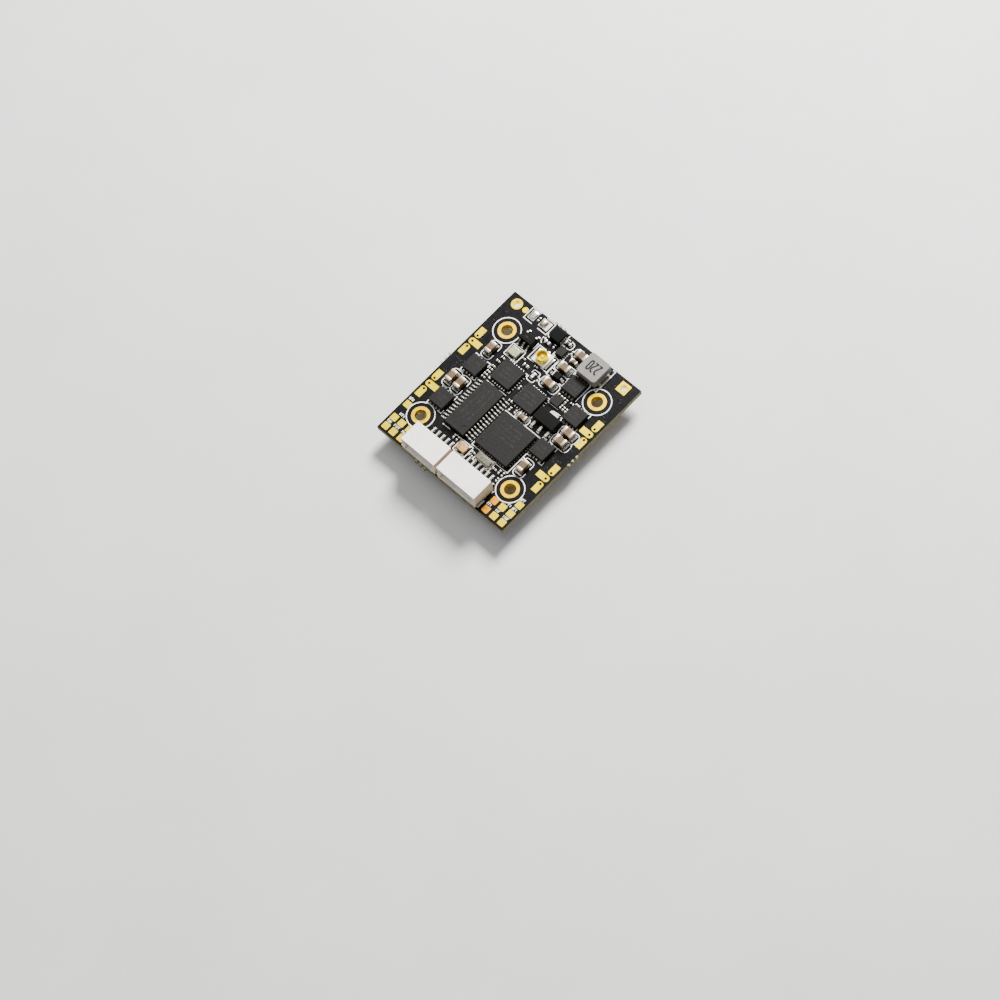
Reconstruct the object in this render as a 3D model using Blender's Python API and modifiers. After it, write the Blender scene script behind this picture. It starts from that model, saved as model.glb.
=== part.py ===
"""Flight controller board for a small drone: one circuit board with its chips, sockets and pads.

The board lies flat. +X runs along its short edge, +Y from the plug sockets' edge to the battery
edge, and +Z up. The origin is below the middle of the four mounting holes, at the height of the
lowest face, the flat of the USB socket's shell. Each physical piece is an object of its own.
"""
import math

import bmesh
import bpy
from mathutils import Matrix

MM = 0.001

# Circuit board
BOARD_WIDTH = 28.0
BOARD_LENGTH = 32.0
BOARD_THICKNESS = 1.0
BOARD_BOTTOM = 2.6
BOARD_TOP = BOARD_BOTTOM + BOARD_THICKNESS
SEAT_GAP = 0.02

# Breakaway teeth left where the board was snapped out of its panel
TOOTH_WIDTH = 0.42
TOOTH_PITCH = 0.95
TOOTH_REACH = 0.35
FRONT_TEETH_X = -4.0
BACK_TEETH_X = -3.9

# Mounting holes on a 20 mm square
HOLE_PITCH = 20.0
HOLE_RADIUS = 1.0
RING_RADIUS = 1.55
PLATING_WALL = 0.05
PLATING_HEIGHT = 0.05

# Battery pads
ROUND_PAD_PLACE = (-12.1, 14.5)
ROUND_PAD_RADIUS = 0.98
ROUND_PAD_HOLE = 0.65
SQUARE_PAD_PLACE = (11.55, 14.5)
SQUARE_PAD_SIDE = 1.9
SQUARE_PAD_HOLE = 0.6

# Motor pads: each group of three has one small via a pad
MOTOR_VIA_X = 13.0
MOTOR_GROUP_Y = (5.0, -5.0)
MOTOR_VIA_OFFSETS = (-1.22, 0.0, 1.22)
MOTOR_VIA_RADIUS = 0.2

# Side-entry plug sockets, 1.0 mm pitch
SOCKET_FRONT_Y = -15.95
SOCKET_DEPTH = 4.25
SOCKET_HEIGHT = 2.95
SOCKET_SIDE_MARGIN = 1.7
SOCKET_WALL = 0.45
SOCKET_SIDE_WALL = 0.7
SOCKET_BACK_WALL = 1.0
SOCKET_LIP = 0.3
CONTACT_PITCH = 1.0
CONTACT_WIDTH = 0.25
CONTACT_THICKNESS = 0.2
CONTACT_HEIGHT = 1.35
CONTACT_TAIL_Y = -10.15
CONTACT_CLEARANCE = 0.04
SOCKETS = (("plug_socket_5", 5, -4.53), ("plug_socket_6", 6, 3.87))

# USB socket under the battery edge
USB_WIDTH = 7.5
USB_LENGTH = 5.0
USB_HEIGHT = 2.55
USB_WALL = 0.3
USB_MOUTH_Y = BOARD_LENGTH / 2.0
USB_TONGUE_THICKNESS = 0.6

# Boot button under the battery edge
BUTTON_PLACE = (-6.6, 13.3)
BUTTON_BASE_SIZE = (3.2, 2.6, 0.85)
BUTTON_WELL_RADIUS = 1.0
BUTTON_WELL_DEPTH = 0.5
BUTTON_COVER_THICKNESS = 0.12
BUTTON_RADIUS = 0.6
BUTTON_FLANGE_RADIUS = 0.85
BUTTON_FLANGE_THICKNESS = 0.18
BUTTON_REACH = 0.3
BUTTON_CLEARANCE = 0.05

# Antenna socket
ANTENNA_PLACE = (-1.95, 10.0)
ANTENNA_BASE_SIZE = (2.7, 2.6, 0.4)
ANTENNA_SHELL_RADIUS = 1.0
ANTENNA_SHELL_WALL = 0.17
ANTENNA_SHELL_HEIGHT = 0.95
ANTENNA_PIN_RADIUS = 0.22
ANTENNA_PIN_HEIGHT = 0.7

# Chip with 28 gull-wing legs
OSD_PLACE = (-3.95, -3.65)
OSD_BODY = (4.4, 9.7, 0.95)
OSD_LEGS_PER_SIDE = 14
OSD_LEG_PITCH = 0.65

# Power inductor
INDUCTOR_PLACE = (6.15, 13.5)
INDUCTOR_SIZE = (4.1, 4.2, 2.0)
INDUCTOR_TERMINAL_WIDTH = 2.4
INDUCTOR_TERMINAL_THICKNESS = 0.12

# Plain blocks: name, material, middle (x, y), size (x, y, z)
TOP_BLOCKS = (
    ("mcu_chip", "chip_plastic", (3.65, -4.35), (7.0, 7.0, 0.9)),
    ("motor_driver_chip_1", "chip_plastic", (-4.1, 4.15), (4.1, 4.1, 0.8)),
    ("motor_driver_chip_2", "chip_plastic", (1.65, 3.3), (4.1, 4.1, 0.8)),
    ("power_switch_chip", "chip_plastic", (5.6, 9.5), (3.15, 3.1, 0.85)),
    ("buck_chip", "chip_plastic", (-0.3, 12.7), (1.45, 1.5, 0.75)),
    ("mosfet_1", "chip_plastic", (-9.35, 1.95), (3.1, 3.05, 0.85)),
    ("mosfet_2", "chip_plastic", (-9.35, -5.75), (3.1, 3.05, 0.85)),
    ("mosfet_3", "chip_plastic", (9.3, -1.9), (3.1, 3.05, 0.85)),
    ("mosfet_4", "chip_plastic", (9.3, 5.75), (3.1, 3.05, 0.85)),
    ("small_inductor", "inductor_black", (-2.6, 14.4), (2.2, 2.2, 1.1)),
    ("crystal_1", "crystal_lid", (-6.2, 7.85), (2.1, 1.7, 0.55)),
    ("crystal_2", "crystal_lid", (-0.7, -9.75), (1.95, 1.6, 0.55)),
    ("resonator", "crystal_lid", (3.45, -9.15), (3.1, 1.25, 0.7)),
    ("power_diode", "chip_plastic", (2.0, 9.15), (1.7, 1.15, 0.8)),
)

# Ceramic capacitors: middle (x, y), and whether the length lies along Y
CAPACITOR_SIZE = (2.05, 1.25, 1.2)
CAPACITORS = (
    ((-9.5, 5.8), True),
    ((-10.8, -1.95), True),
    ((-8.9, -2.0), True),
    ((9.05, -6.0), True),
    ((10.55, 2.85), False),
    ((10.55, 1.0), False),
    ((2.1, 7.25), False),
    ((2.1, 10.9), False),
    ((2.85, 14.15), False),
)

UNDER_BLOCKS = (
    ("gyro_chip", "chip_plastic", (0.0, 0.0), (4.0, 4.0, 0.9)),
    ("flash_chip", "chip_plastic", (0.0, -7.5), (6.0, 5.0, 0.8)),
)

CIRCLE_STEPS = 40
BEVEL_SMALL = 0.05


def clear_scene():
    for item in list(bpy.data.objects):
        bpy.data.objects.remove(item, do_unlink=True)


def new_collection(name):
    collection = bpy.data.collections.new(name)
    bpy.context.scene.collection.children.link(collection)
    return collection


def make_material(name, color, roughness, metallic):
    material = bpy.data.materials.new(name)
    material.use_nodes = True
    shader = material.node_tree.nodes["Principled BSDF"]
    shader.inputs["Base Color"].default_value = (*color, 1.0)
    shader.inputs["Roughness"].default_value = roughness
    shader.inputs["Metallic"].default_value = metallic
    material.diffuse_color = (*color, 1.0)
    return material


def make_materials():
    looks = {
        "solder_mask": ((0.012, 0.012, 0.018), 0.35, 0.0),
        "gold_plating": ((0.83, 0.62, 0.25), 0.3, 1.0),
        "chip_plastic": ((0.035, 0.035, 0.037), 0.6, 0.0),
        "inductor_grey": ((0.42, 0.40, 0.38), 0.6, 0.0),
        "inductor_black": ((0.02, 0.02, 0.022), 0.5, 0.0),
        "ceramic_tan": ((0.42, 0.26, 0.17), 0.5, 0.0),
        "crystal_lid": ((0.62, 0.59, 0.53), 0.35, 1.0),
        "tinned_metal": ((0.78, 0.77, 0.74), 0.3, 1.0),
        "socket_white": ((0.85, 0.83, 0.78), 0.45, 0.0),
        "shell_steel": ((0.66, 0.66, 0.65), 0.28, 1.0),
        "insert_black": ((0.02, 0.02, 0.02), 0.5, 0.0),
        "button_grey": ((0.2, 0.2, 0.21), 0.5, 0.0),
    }
    return {name: make_material(name, *look) for name, look in looks.items()}


def link_mesh(name, mesh, material, collection):
    """Put a mesh, drawn in millimetres, into the scene at its real size."""
    mesh.transform(Matrix.Scale(MM, 4))
    mesh.name = name
    mesh.materials.clear()
    mesh.materials.append(material)
    item = bpy.data.objects.new(name, mesh)
    collection.objects.link(item)
    return item


def recentre(item, place_mm):
    """Move the object's own origin to a place, leaving the shape where it is."""
    offset = Matrix.Translation([value * MM for value in place_mm])
    item.data.transform(offset.inverted())
    item.location = offset.translation


def box_mesh(size, middle):
    mesh = bpy.data.meshes.new("box")
    shape = bmesh.new()
    bmesh.ops.create_cube(shape, size=1.0)
    bmesh.ops.scale(shape, vec=size, verts=shape.verts)
    bmesh.ops.translate(shape, vec=middle, verts=shape.verts)
    shape.to_mesh(mesh)
    shape.free()
    return mesh


def cylinder_mesh(radius, height, middle, steps=CIRCLE_STEPS):
    mesh = bpy.data.meshes.new("cylinder")
    shape = bmesh.new()
    bmesh.ops.create_cone(
        shape, cap_ends=True, segments=steps, radius1=radius, radius2=radius, depth=height
    )
    bmesh.ops.translate(shape, vec=middle, verts=shape.verts)
    shape.to_mesh(mesh)
    shape.free()
    return mesh


def outline_mesh(loops, thickness):
    """A flat outline with holes, made thick along Z about its own plane."""
    curve = bpy.data.curves.new("outline", "CURVE")
    curve.dimensions = "2D"
    curve.fill_mode = "BOTH"
    curve.extrude = thickness / 2.0
    for loop in loops:
        spline = curve.splines.new("POLY")
        spline.points.add(len(loop) - 1)
        for point, (x, y) in zip(spline.points, loop):
            point.co = (x, y, 0.0, 1.0)
        spline.use_cyclic_u = True
    guide = bpy.data.objects.new("outline", curve)
    bpy.context.scene.collection.objects.link(guide)
    graph = bpy.context.evaluated_depsgraph_get()
    mesh = bpy.data.meshes.new_from_object(guide.evaluated_get(graph))
    bpy.data.objects.remove(guide, do_unlink=True)
    shape = bmesh.new()
    shape.from_mesh(mesh)
    bmesh.ops.remove_doubles(shape, verts=shape.verts, dist=0.0001)
    bmesh.ops.recalc_face_normals(shape, faces=shape.faces)
    shape.to_mesh(mesh)
    shape.free()
    return mesh


def joined_mesh(meshes):
    """Several closed shapes in one mesh, for a Boolean that adds or cuts them all."""
    joined = bpy.data.meshes.new("joined")
    shape = bmesh.new()
    for mesh in meshes:
        shape.from_mesh(mesh)
    shape.to_mesh(joined)
    shape.free()
    return joined


def moved(mesh, matrix):
    copy = mesh.copy()
    copy.transform(matrix)
    return copy


def circle_points(middle, radius, steps):
    return [
        (
            middle[0] + radius * math.cos(2.0 * math.pi * step / steps),
            middle[1] + radius * math.sin(2.0 * math.pi * step / steps),
        )
        for step in range(steps)
    ]


def bent_strip(centre_line, thickness):
    """The outline of a strip of even thickness along a bent centre line."""
    left = []
    right = []
    for index, (x, y) in enumerate(centre_line):
        before = centre_line[max(index - 1, 0)]
        after = centre_line[min(index + 1, len(centre_line) - 1)]
        normals = []
        for start, end in ((before, (x, y)), ((x, y), after)):
            length = math.hypot(end[0] - start[0], end[1] - start[1])
            if length > 0.0:
                normals.append((-(end[1] - start[1]) / length, (end[0] - start[0]) / length))
        sum_x = sum(normal[0] for normal in normals)
        sum_y = sum(normal[1] for normal in normals)
        size = math.hypot(sum_x, sum_y)
        mitre = (sum_x / size, sum_y / size)
        reach = thickness / 2.0 / (mitre[0] * normals[0][0] + mitre[1] * normals[0][1])
        left.append((x + mitre[0] * reach, y + mitre[1] * reach))
        right.append((x - mitre[0] * reach, y - mitre[1] * reach))
    return left + right[::-1]


def boolean(item, tool, operation):
    modifier = item.modifiers.new(operation.title(), "BOOLEAN")
    modifier.operation = operation
    modifier.solver = "EXACT"
    modifier.object = tool


def bevel(item, width, segments=1):
    modifier = item.modifiers.new("Bevel", "BEVEL")
    modifier.width = width * MM
    modifier.segments = segments
    modifier.limit_method = "ANGLE"
    modifier.angle_limit = math.radians(50.0)


class Builder:
    """Holds the collections and materials, and adds one named piece at a time."""

    def __init__(self):
        self.materials = make_materials()
        self.parts = new_collection("flight_controller_board")
        self.tools = new_collection("boolean_shapes")

    def piece(self, name, mesh, material):
        return link_mesh(name, mesh, self.materials[material], self.parts)

    def tool(self, name, mesh):
        item = link_mesh(name, mesh, self.materials["chip_plastic"], self.tools)
        item.hide_render = True
        item.display_type = "WIRE"
        return item

    def turned(self, name, profile, place, material):
        """A ring or cup from a closed profile of (radius, z), down its outer side first."""
        mesh = bpy.data.meshes.new(name)
        points = [(radius, 0.0, height) for radius, height in profile]
        edges = [(index, (index + 1) % len(points)) for index in range(len(points))]
        mesh.from_pydata(points, edges, [])
        item = self.piece(name, mesh, material)
        item.location = (place[0] * MM, place[1] * MM, 0.0)
        screw = item.modifiers.new("Screw", "SCREW")
        screw.steps = CIRCLE_STEPS
        screw.render_steps = CIRCLE_STEPS
        screw.use_merge_vertices = True
        screw.merge_threshold = 0.000001
        screw.use_smooth_shade = True
        return item

    def block(self, name, material, place, size, bottom):
        middle = (place[0], place[1], bottom + size[2] / 2.0)
        item = self.piece(name, box_mesh(size, middle), material)
        bevel(item, BEVEL_SMALL)
        return item


def edge_with_teeth(start, end, outward, tooth_middle):
    """Points along one straight board edge, with three breakaway teeth standing out of it."""
    length = math.hypot(end[0] - start[0], end[1] - start[1])
    along = ((end[0] - start[0]) / length, (end[1] - start[1]) / length)
    points = [start]
    for step in (-1, 0, 1):
        middle = tooth_middle + step * TOOTH_PITCH
        for offset, reach in ((-0.5, 0.0), (-0.3, 1.0), (0.3, 1.0), (0.5, 0.0)):
            distance = middle + offset * TOOTH_WIDTH
            points.append(
                (
                    start[0] + along[0] * distance + outward[0] * reach * TOOTH_REACH,
                    start[1] + along[1] * distance + outward[1] * reach * TOOTH_REACH,
                )
            )
    return points


def add_circuit_board(builder):
    half_x = BOARD_WIDTH / 2.0
    half_y = BOARD_LENGTH / 2.0
    corners = ((-half_x, -half_y), (half_x, -half_y), (half_x, half_y), (-half_x, half_y))
    outline = edge_with_teeth(corners[0], corners[1], (0.0, -1.0), half_x + FRONT_TEETH_X)
    outline += edge_with_teeth(corners[1], corners[2], (1.0, 0.0), half_y)
    outline += edge_with_teeth(corners[2], corners[3], (0.0, 1.0), half_x - BACK_TEETH_X)
    outline += edge_with_teeth(corners[3], corners[0], (-1.0, 0.0), half_y)
    loops = [outline]
    for x, y in mounting_places().values():
        loops.append(circle_points((x, y), HOLE_RADIUS + PLATING_WALL + SEAT_GAP, CIRCLE_STEPS))
    for place, radius in (
        (ROUND_PAD_PLACE, ROUND_PAD_HOLE),
        (SQUARE_PAD_PLACE, SQUARE_PAD_HOLE),
    ):
        loops.append(circle_points(place, radius + PLATING_WALL + SEAT_GAP, CIRCLE_STEPS))
    for side in (-1.0, 1.0):
        for group_y in MOTOR_GROUP_Y:
            for offset in MOTOR_VIA_OFFSETS:
                middle = (side * MOTOR_VIA_X, group_y + offset)
                loops.append(circle_points(middle, MOTOR_VIA_RADIUS, 12))
    mesh = outline_mesh(loops, BOARD_THICKNESS)
    mesh.transform(Matrix.Translation((0.0, 0.0, BOARD_BOTTOM + BOARD_THICKNESS / 2.0)))
    builder.piece("circuit_board", mesh, "solder_mask")


def mounting_places():
    half = HOLE_PITCH / 2.0
    return {
        "front_left": (-half, -half),
        "front_right": (half, -half),
        "back_left": (-half, half),
        "back_right": (half, half),
    }


def plated_hole_profile(hole_radius, flange_radius):
    """A plated hole: a thin tube with a flat flange on each face of the board."""
    top = BOARD_TOP + SEAT_GAP + PLATING_HEIGHT
    bottom = BOARD_BOTTOM - SEAT_GAP - PLATING_HEIGHT
    tube = hole_radius + PLATING_WALL
    return (
        (hole_radius, top),
        (flange_radius, top),
        (flange_radius, top - PLATING_HEIGHT),
        (tube, top - PLATING_HEIGHT),
        (tube, bottom + PLATING_HEIGHT),
        (flange_radius, bottom + PLATING_HEIGHT),
        (flange_radius, bottom),
        (hole_radius, bottom),
    )


def add_mount_rings(builder):
    for corner, place in mounting_places().items():
        profile = plated_hole_profile(HOLE_RADIUS, RING_RADIUS)
        builder.turned("mount_ring_" + corner, profile, place, "gold_plating")


def add_battery_pads(builder):
    profile = plated_hole_profile(ROUND_PAD_HOLE, ROUND_PAD_RADIUS)
    builder.turned("battery_pad_round", profile, ROUND_PAD_PLACE, "gold_plating")

    x, y = SQUARE_PAD_PLACE
    middle_z = (BOARD_TOP + BOARD_BOTTOM) / 2.0
    tube_height = BOARD_THICKNESS + 2.0 * SEAT_GAP + PLATING_HEIGHT
    tube = cylinder_mesh(SQUARE_PAD_HOLE + PLATING_WALL, tube_height, (x, y, middle_z))
    pad = builder.piece("battery_pad_square", tube, "gold_plating")
    plate_size = (SQUARE_PAD_SIDE, SQUARE_PAD_SIDE, PLATING_HEIGHT)
    offset = BOARD_THICKNESS / 2.0 + SEAT_GAP + PLATING_HEIGHT / 2.0
    for side, sign in (("top", 1.0), ("bottom", -1.0)):
        plate = box_mesh(plate_size, (x, y, middle_z + sign * offset))
        boolean(pad, builder.tool("square_pad_" + side, plate), "UNION")
    hole = cylinder_mesh(SQUARE_PAD_HOLE, 3.0 * BOARD_THICKNESS, (x, y, middle_z))
    boolean(pad, builder.tool("square_pad_hole", hole), "DIFFERENCE")


def leg_mesh(body_half, height, reach, width, thickness):
    """One gull-wing leg that leaves the body at +X and steps down to the board."""
    foot = thickness / 2.0
    line = (
        (body_half - 0.15, height),
        (body_half + 0.25, height),
        (body_half + 0.45, foot),
        (reach, foot),
    )
    mesh = outline_mesh([bent_strip(line, thickness)], width)
    mesh.transform(Matrix.Rotation(math.radians(90.0), 4, "X"))
    return mesh


def leg_row(leg, place, bottom, offsets, turn):
    """Copies of a leg along one side of a chip, turned to face outward."""
    rows = []
    for offset in offsets:
        matrix = Matrix.Translation((place[0], place[1], bottom))
        matrix = matrix @ Matrix.Rotation(math.radians(turn), 4, "Z")
        matrix = matrix @ Matrix.Translation((0.0, offset, 0.0))
        rows.append(moved(leg, matrix))
    return rows


def centred_offsets(count, pitch):
    return [(index - (count - 1) / 2.0) * pitch for index in range(count)]


def add_osd_chip(builder):
    bottom = BOARD_TOP + SEAT_GAP
    standoff = 0.1
    middle = (OSD_PLACE[0], OSD_PLACE[1], bottom + standoff + OSD_BODY[2] / 2.0)
    chip = builder.piece("osd_chip", box_mesh(OSD_BODY, middle), "chip_plastic")
    bevel(chip, BEVEL_SMALL)
    leg = leg_mesh(OSD_BODY[0] / 2.0, 0.55, 3.25, 0.25, 0.14)
    offsets = centred_offsets(OSD_LEGS_PER_SIDE, OSD_LEG_PITCH)
    legs = leg_row(leg, OSD_PLACE, bottom, offsets, 0.0)
    legs += leg_row(leg, OSD_PLACE, bottom, offsets, 180.0)
    boolean(chip, builder.tool("osd_chip_legs", joined_mesh(legs)), "UNION")


def add_small_regulator(builder):
    """Five-legged regulator: three legs toward the front, two toward the back."""
    place = (-6.05, 10.9)
    body = (2.9, 1.6, 1.0)
    bottom = BOARD_TOP + SEAT_GAP
    middle = (place[0], place[1], bottom + 0.1 + body[2] / 2.0)
    chip = builder.piece("small_regulator", box_mesh(body, middle), "chip_plastic")
    bevel(chip, BEVEL_SMALL)
    leg = leg_mesh(body[1] / 2.0, 0.55, 1.5, 0.4, 0.15)
    legs = leg_row(leg, place, bottom, (-0.95, 0.0, 0.95), -90.0)
    legs += leg_row(leg, place, bottom, (-0.95, 0.95), 90.0)
    boolean(chip, builder.tool("small_regulator_legs", joined_mesh(legs)), "UNION")


def add_power_regulator(builder):
    """Flat-tab regulator: a wide tab toward the back and three flat legs toward the front."""
    x, y = (6.45, 2.35)
    bottom = BOARD_TOP + SEAT_GAP
    body = (4.5, 2.5, 1.45)
    middle = (x, y, bottom + body[2] / 2.0)
    chip = builder.piece("power_regulator", box_mesh(body, middle), "chip_plastic")
    bevel(chip, BEVEL_SMALL)
    plates = [box_mesh((1.7, 1.2, 0.35), (x, y + 1.4, bottom + 0.22))]
    for offset in centred_offsets(3, 1.5):
        plates.append(box_mesh((0.45, 1.2, 0.35), (x + offset, y - 1.6, bottom + 0.22)))
    boolean(chip, builder.tool("power_regulator_legs", joined_mesh(plates)), "UNION")


def add_inductor(builder):
    x, y = INDUCTOR_PLACE
    bottom = BOARD_TOP + SEAT_GAP
    lift = INDUCTOR_TERMINAL_THICKNESS + SEAT_GAP
    size = (INDUCTOR_SIZE[0], INDUCTOR_SIZE[1], INDUCTOR_SIZE[2] - lift)
    middle = (x, y, bottom + lift + size[2] / 2.0)
    core = builder.piece("inductor_core", box_mesh(size, middle), "inductor_grey")
    bevel(core, 0.25, 3)
    half = INDUCTOR_SIZE[0] / 2.0 + SEAT_GAP + INDUCTOR_TERMINAL_THICKNESS / 2.0
    foot = INDUCTOR_TERMINAL_THICKNESS / 2.0
    line = ((half - 1.1, foot), (half, foot), (half, 1.1))
    clip = outline_mesh([bent_strip(line, INDUCTOR_TERMINAL_THICKNESS)], INDUCTOR_TERMINAL_WIDTH)
    clip.transform(Matrix.Rotation(math.radians(90.0), 4, "X"))
    for side, turn in (("right", 0.0), ("left", 180.0)):
        matrix = Matrix.Translation((x, y, bottom)) @ Matrix.Rotation(math.radians(turn), 4, "Z")
        builder.piece("inductor_terminal_" + side, moved(clip, matrix), "tinned_metal")


def add_blocks(builder):
    bottom = BOARD_TOP + SEAT_GAP
    for name, material, place, size in TOP_BLOCKS:
        builder.block(name, material, place, size, bottom)
    for name, material, place, size in UNDER_BLOCKS:
        builder.block(name, material, place, size, BOARD_BOTTOM - SEAT_GAP - size[2])
    length, width, height = CAPACITOR_SIZE
    for index, (place, along_y) in enumerate(CAPACITORS, start=1):
        size = (width, length, height) if along_y else (length, width, height)
        builder.block(f"capacitor_{index}", "ceramic_tan", place, size, bottom)


def add_antenna_socket(builder):
    x, y = ANTENNA_PLACE
    bottom = BOARD_TOP + SEAT_GAP
    builder.block("antenna_socket_base", "socket_white", ANTENNA_PLACE, ANTENNA_BASE_SIZE, bottom)
    floor = bottom + ANTENNA_BASE_SIZE[2] + SEAT_GAP
    inner = ANTENNA_SHELL_RADIUS - ANTENNA_SHELL_WALL
    profile = (
        (inner, floor + ANTENNA_SHELL_HEIGHT),
        (ANTENNA_SHELL_RADIUS, floor + ANTENNA_SHELL_HEIGHT),
        (ANTENNA_SHELL_RADIUS, floor),
        (inner, floor),
    )
    builder.turned("antenna_socket_shell", profile, ANTENNA_PLACE, "gold_plating")
    middle = (x, y, floor + ANTENNA_PIN_HEIGHT / 2.0)
    pin = cylinder_mesh(ANTENNA_PIN_RADIUS, ANTENNA_PIN_HEIGHT, middle, 20)
    item = builder.piece("antenna_socket_pin", pin, "gold_plating")
    bevel(item, 0.06, 2)


def socket_width(contact_count):
    return (contact_count - 1) * CONTACT_PITCH + 2.0 * SOCKET_SIDE_MARGIN


def add_plug_socket(builder, name, contact_count, middle_x):
    """A housing open at the front edge, with one bent contact for each way through its back."""
    width = socket_width(contact_count)
    bottom = BOARD_TOP + SEAT_GAP
    middle_y = SOCKET_FRONT_Y + SOCKET_DEPTH / 2.0
    body_size = (width, SOCKET_DEPTH, SOCKET_HEIGHT)
    body_middle = (middle_x, middle_y, bottom + SOCKET_HEIGHT / 2.0)
    housing = builder.piece(name + "_housing", box_mesh(body_size, body_middle), "socket_white")
    bevel(housing, 0.08)

    mouth_depth = SOCKET_DEPTH - SOCKET_BACK_WALL
    mouth_size = (
        width - 2.0 * SOCKET_SIDE_WALL,
        mouth_depth + 1.0,
        SOCKET_HEIGHT - 2.0 * SOCKET_WALL,
    )
    mouth_middle = (middle_x, SOCKET_FRONT_Y + mouth_depth / 2.0 - 0.5, body_middle[2])
    mouth = builder.tool(name + "_mouth", box_mesh(mouth_size, mouth_middle))
    boolean(housing, mouth, "DIFFERENCE")

    # The top wall stops short of the bottom lip
    step_size = (width + 1.0, 1.0, SOCKET_HEIGHT)
    step_middle = (
        middle_x,
        SOCKET_FRONT_Y + SOCKET_LIP - 0.5,
        bottom + SOCKET_WALL + 0.6 + SOCKET_HEIGHT / 2.0,
    )
    step = builder.tool(name + "_step", box_mesh(step_size, step_middle))
    boolean(housing, step, "DIFFERENCE")

    # Each contact: a post in the mouth, through the back wall, down and out to its tail
    back_y = SOCKET_FRONT_Y + SOCKET_DEPTH
    post_start = SOCKET_FRONT_Y + 0.9
    drop_y = back_y - 0.35
    line = (
        (post_start, CONTACT_HEIGHT),
        (drop_y, CONTACT_HEIGHT),
        (drop_y, CONTACT_THICKNESS / 2.0),
        (CONTACT_TAIL_Y, CONTACT_THICKNESS / 2.0),
    )
    contact = outline_mesh([bent_strip(line, CONTACT_THICKNESS)], CONTACT_WIDTH)
    contact.transform(Matrix.Rotation(math.radians(90.0), 4, "X"))
    contact.transform(Matrix.Rotation(math.radians(90.0), 4, "Z"))
    slots = []
    slot_width = CONTACT_WIDTH + 2.0 * CONTACT_CLEARANCE
    slot_top = CONTACT_HEIGHT + CONTACT_THICKNESS / 2.0 + CONTACT_CLEARANCE
    slot_start = SOCKET_FRONT_Y + mouth_depth - 0.2
    slot_length = back_y + 0.5 - slot_start
    for index, offset in enumerate(centred_offsets(contact_count, CONTACT_PITCH), start=1):
        x = middle_x + offset
        slots.append(
            box_mesh(
                (slot_width, slot_length, slot_top + 0.5),
                (x, slot_start + slot_length / 2.0, bottom - 0.5 + (slot_top + 0.5) / 2.0),
            )
        )
        mesh = moved(contact, Matrix.Translation((x, 0.0, bottom)))
        builder.piece(f"{name}_contact_{index}", mesh, "tinned_metal")
    boolean(housing, builder.tool(name + "_slots", joined_mesh(slots)), "DIFFERENCE")


def chamfered_outline(width, height, chamfer, bottom):
    """The USB socket's section: square at the board, with the two outer corners cut."""
    half = width / 2.0
    return [
        (-half, bottom + height),
        (-half, bottom + chamfer),
        (-half + chamfer, bottom),
        (half - chamfer, bottom),
        (half, bottom + chamfer),
        (half, bottom + height),
    ]


def add_usb_socket(builder):
    outer = chamfered_outline(USB_WIDTH, USB_HEIGHT, 0.9, 0.0)
    inner = chamfered_outline(
        USB_WIDTH - 2.0 * USB_WALL, USB_HEIGHT - 2.0 * USB_WALL, 0.75, USB_WALL
    )
    shell = outline_mesh([outer, inner], USB_LENGTH)
    shell.transform(Matrix.Rotation(math.radians(90.0), 4, "X"))
    shell.transform(Matrix.Translation((0.0, USB_MOUTH_Y - USB_LENGTH / 2.0, 0.0)))
    builder.piece("usb_shell", shell, "shell_steel")

    clear = USB_WALL + SEAT_GAP
    block_outline = chamfered_outline(
        USB_WIDTH - 2.0 * clear, USB_HEIGHT - 2.0 * clear, 0.77, clear
    )
    block_length = 1.6
    block = outline_mesh([block_outline], block_length)
    block.transform(Matrix.Rotation(math.radians(90.0), 4, "X"))
    back_y = USB_MOUTH_Y - USB_LENGTH
    block.transform(Matrix.Translation((0.0, back_y + block_length / 2.0, 0.0)))
    insert = builder.piece("usb_insert", block, "insert_black")
    tongue_length = 2.6
    tongue = box_mesh(
        (3.9, tongue_length + 0.4, USB_TONGUE_THICKNESS),
        (
            0.0,
            back_y + block_length - 0.4 + (tongue_length + 0.4) / 2.0,
            USB_HEIGHT - USB_WALL - 0.45 - USB_TONGUE_THICKNESS / 2.0,
        ),
    )
    boolean(insert, builder.tool("usb_tongue", tongue), "UNION")


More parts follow.
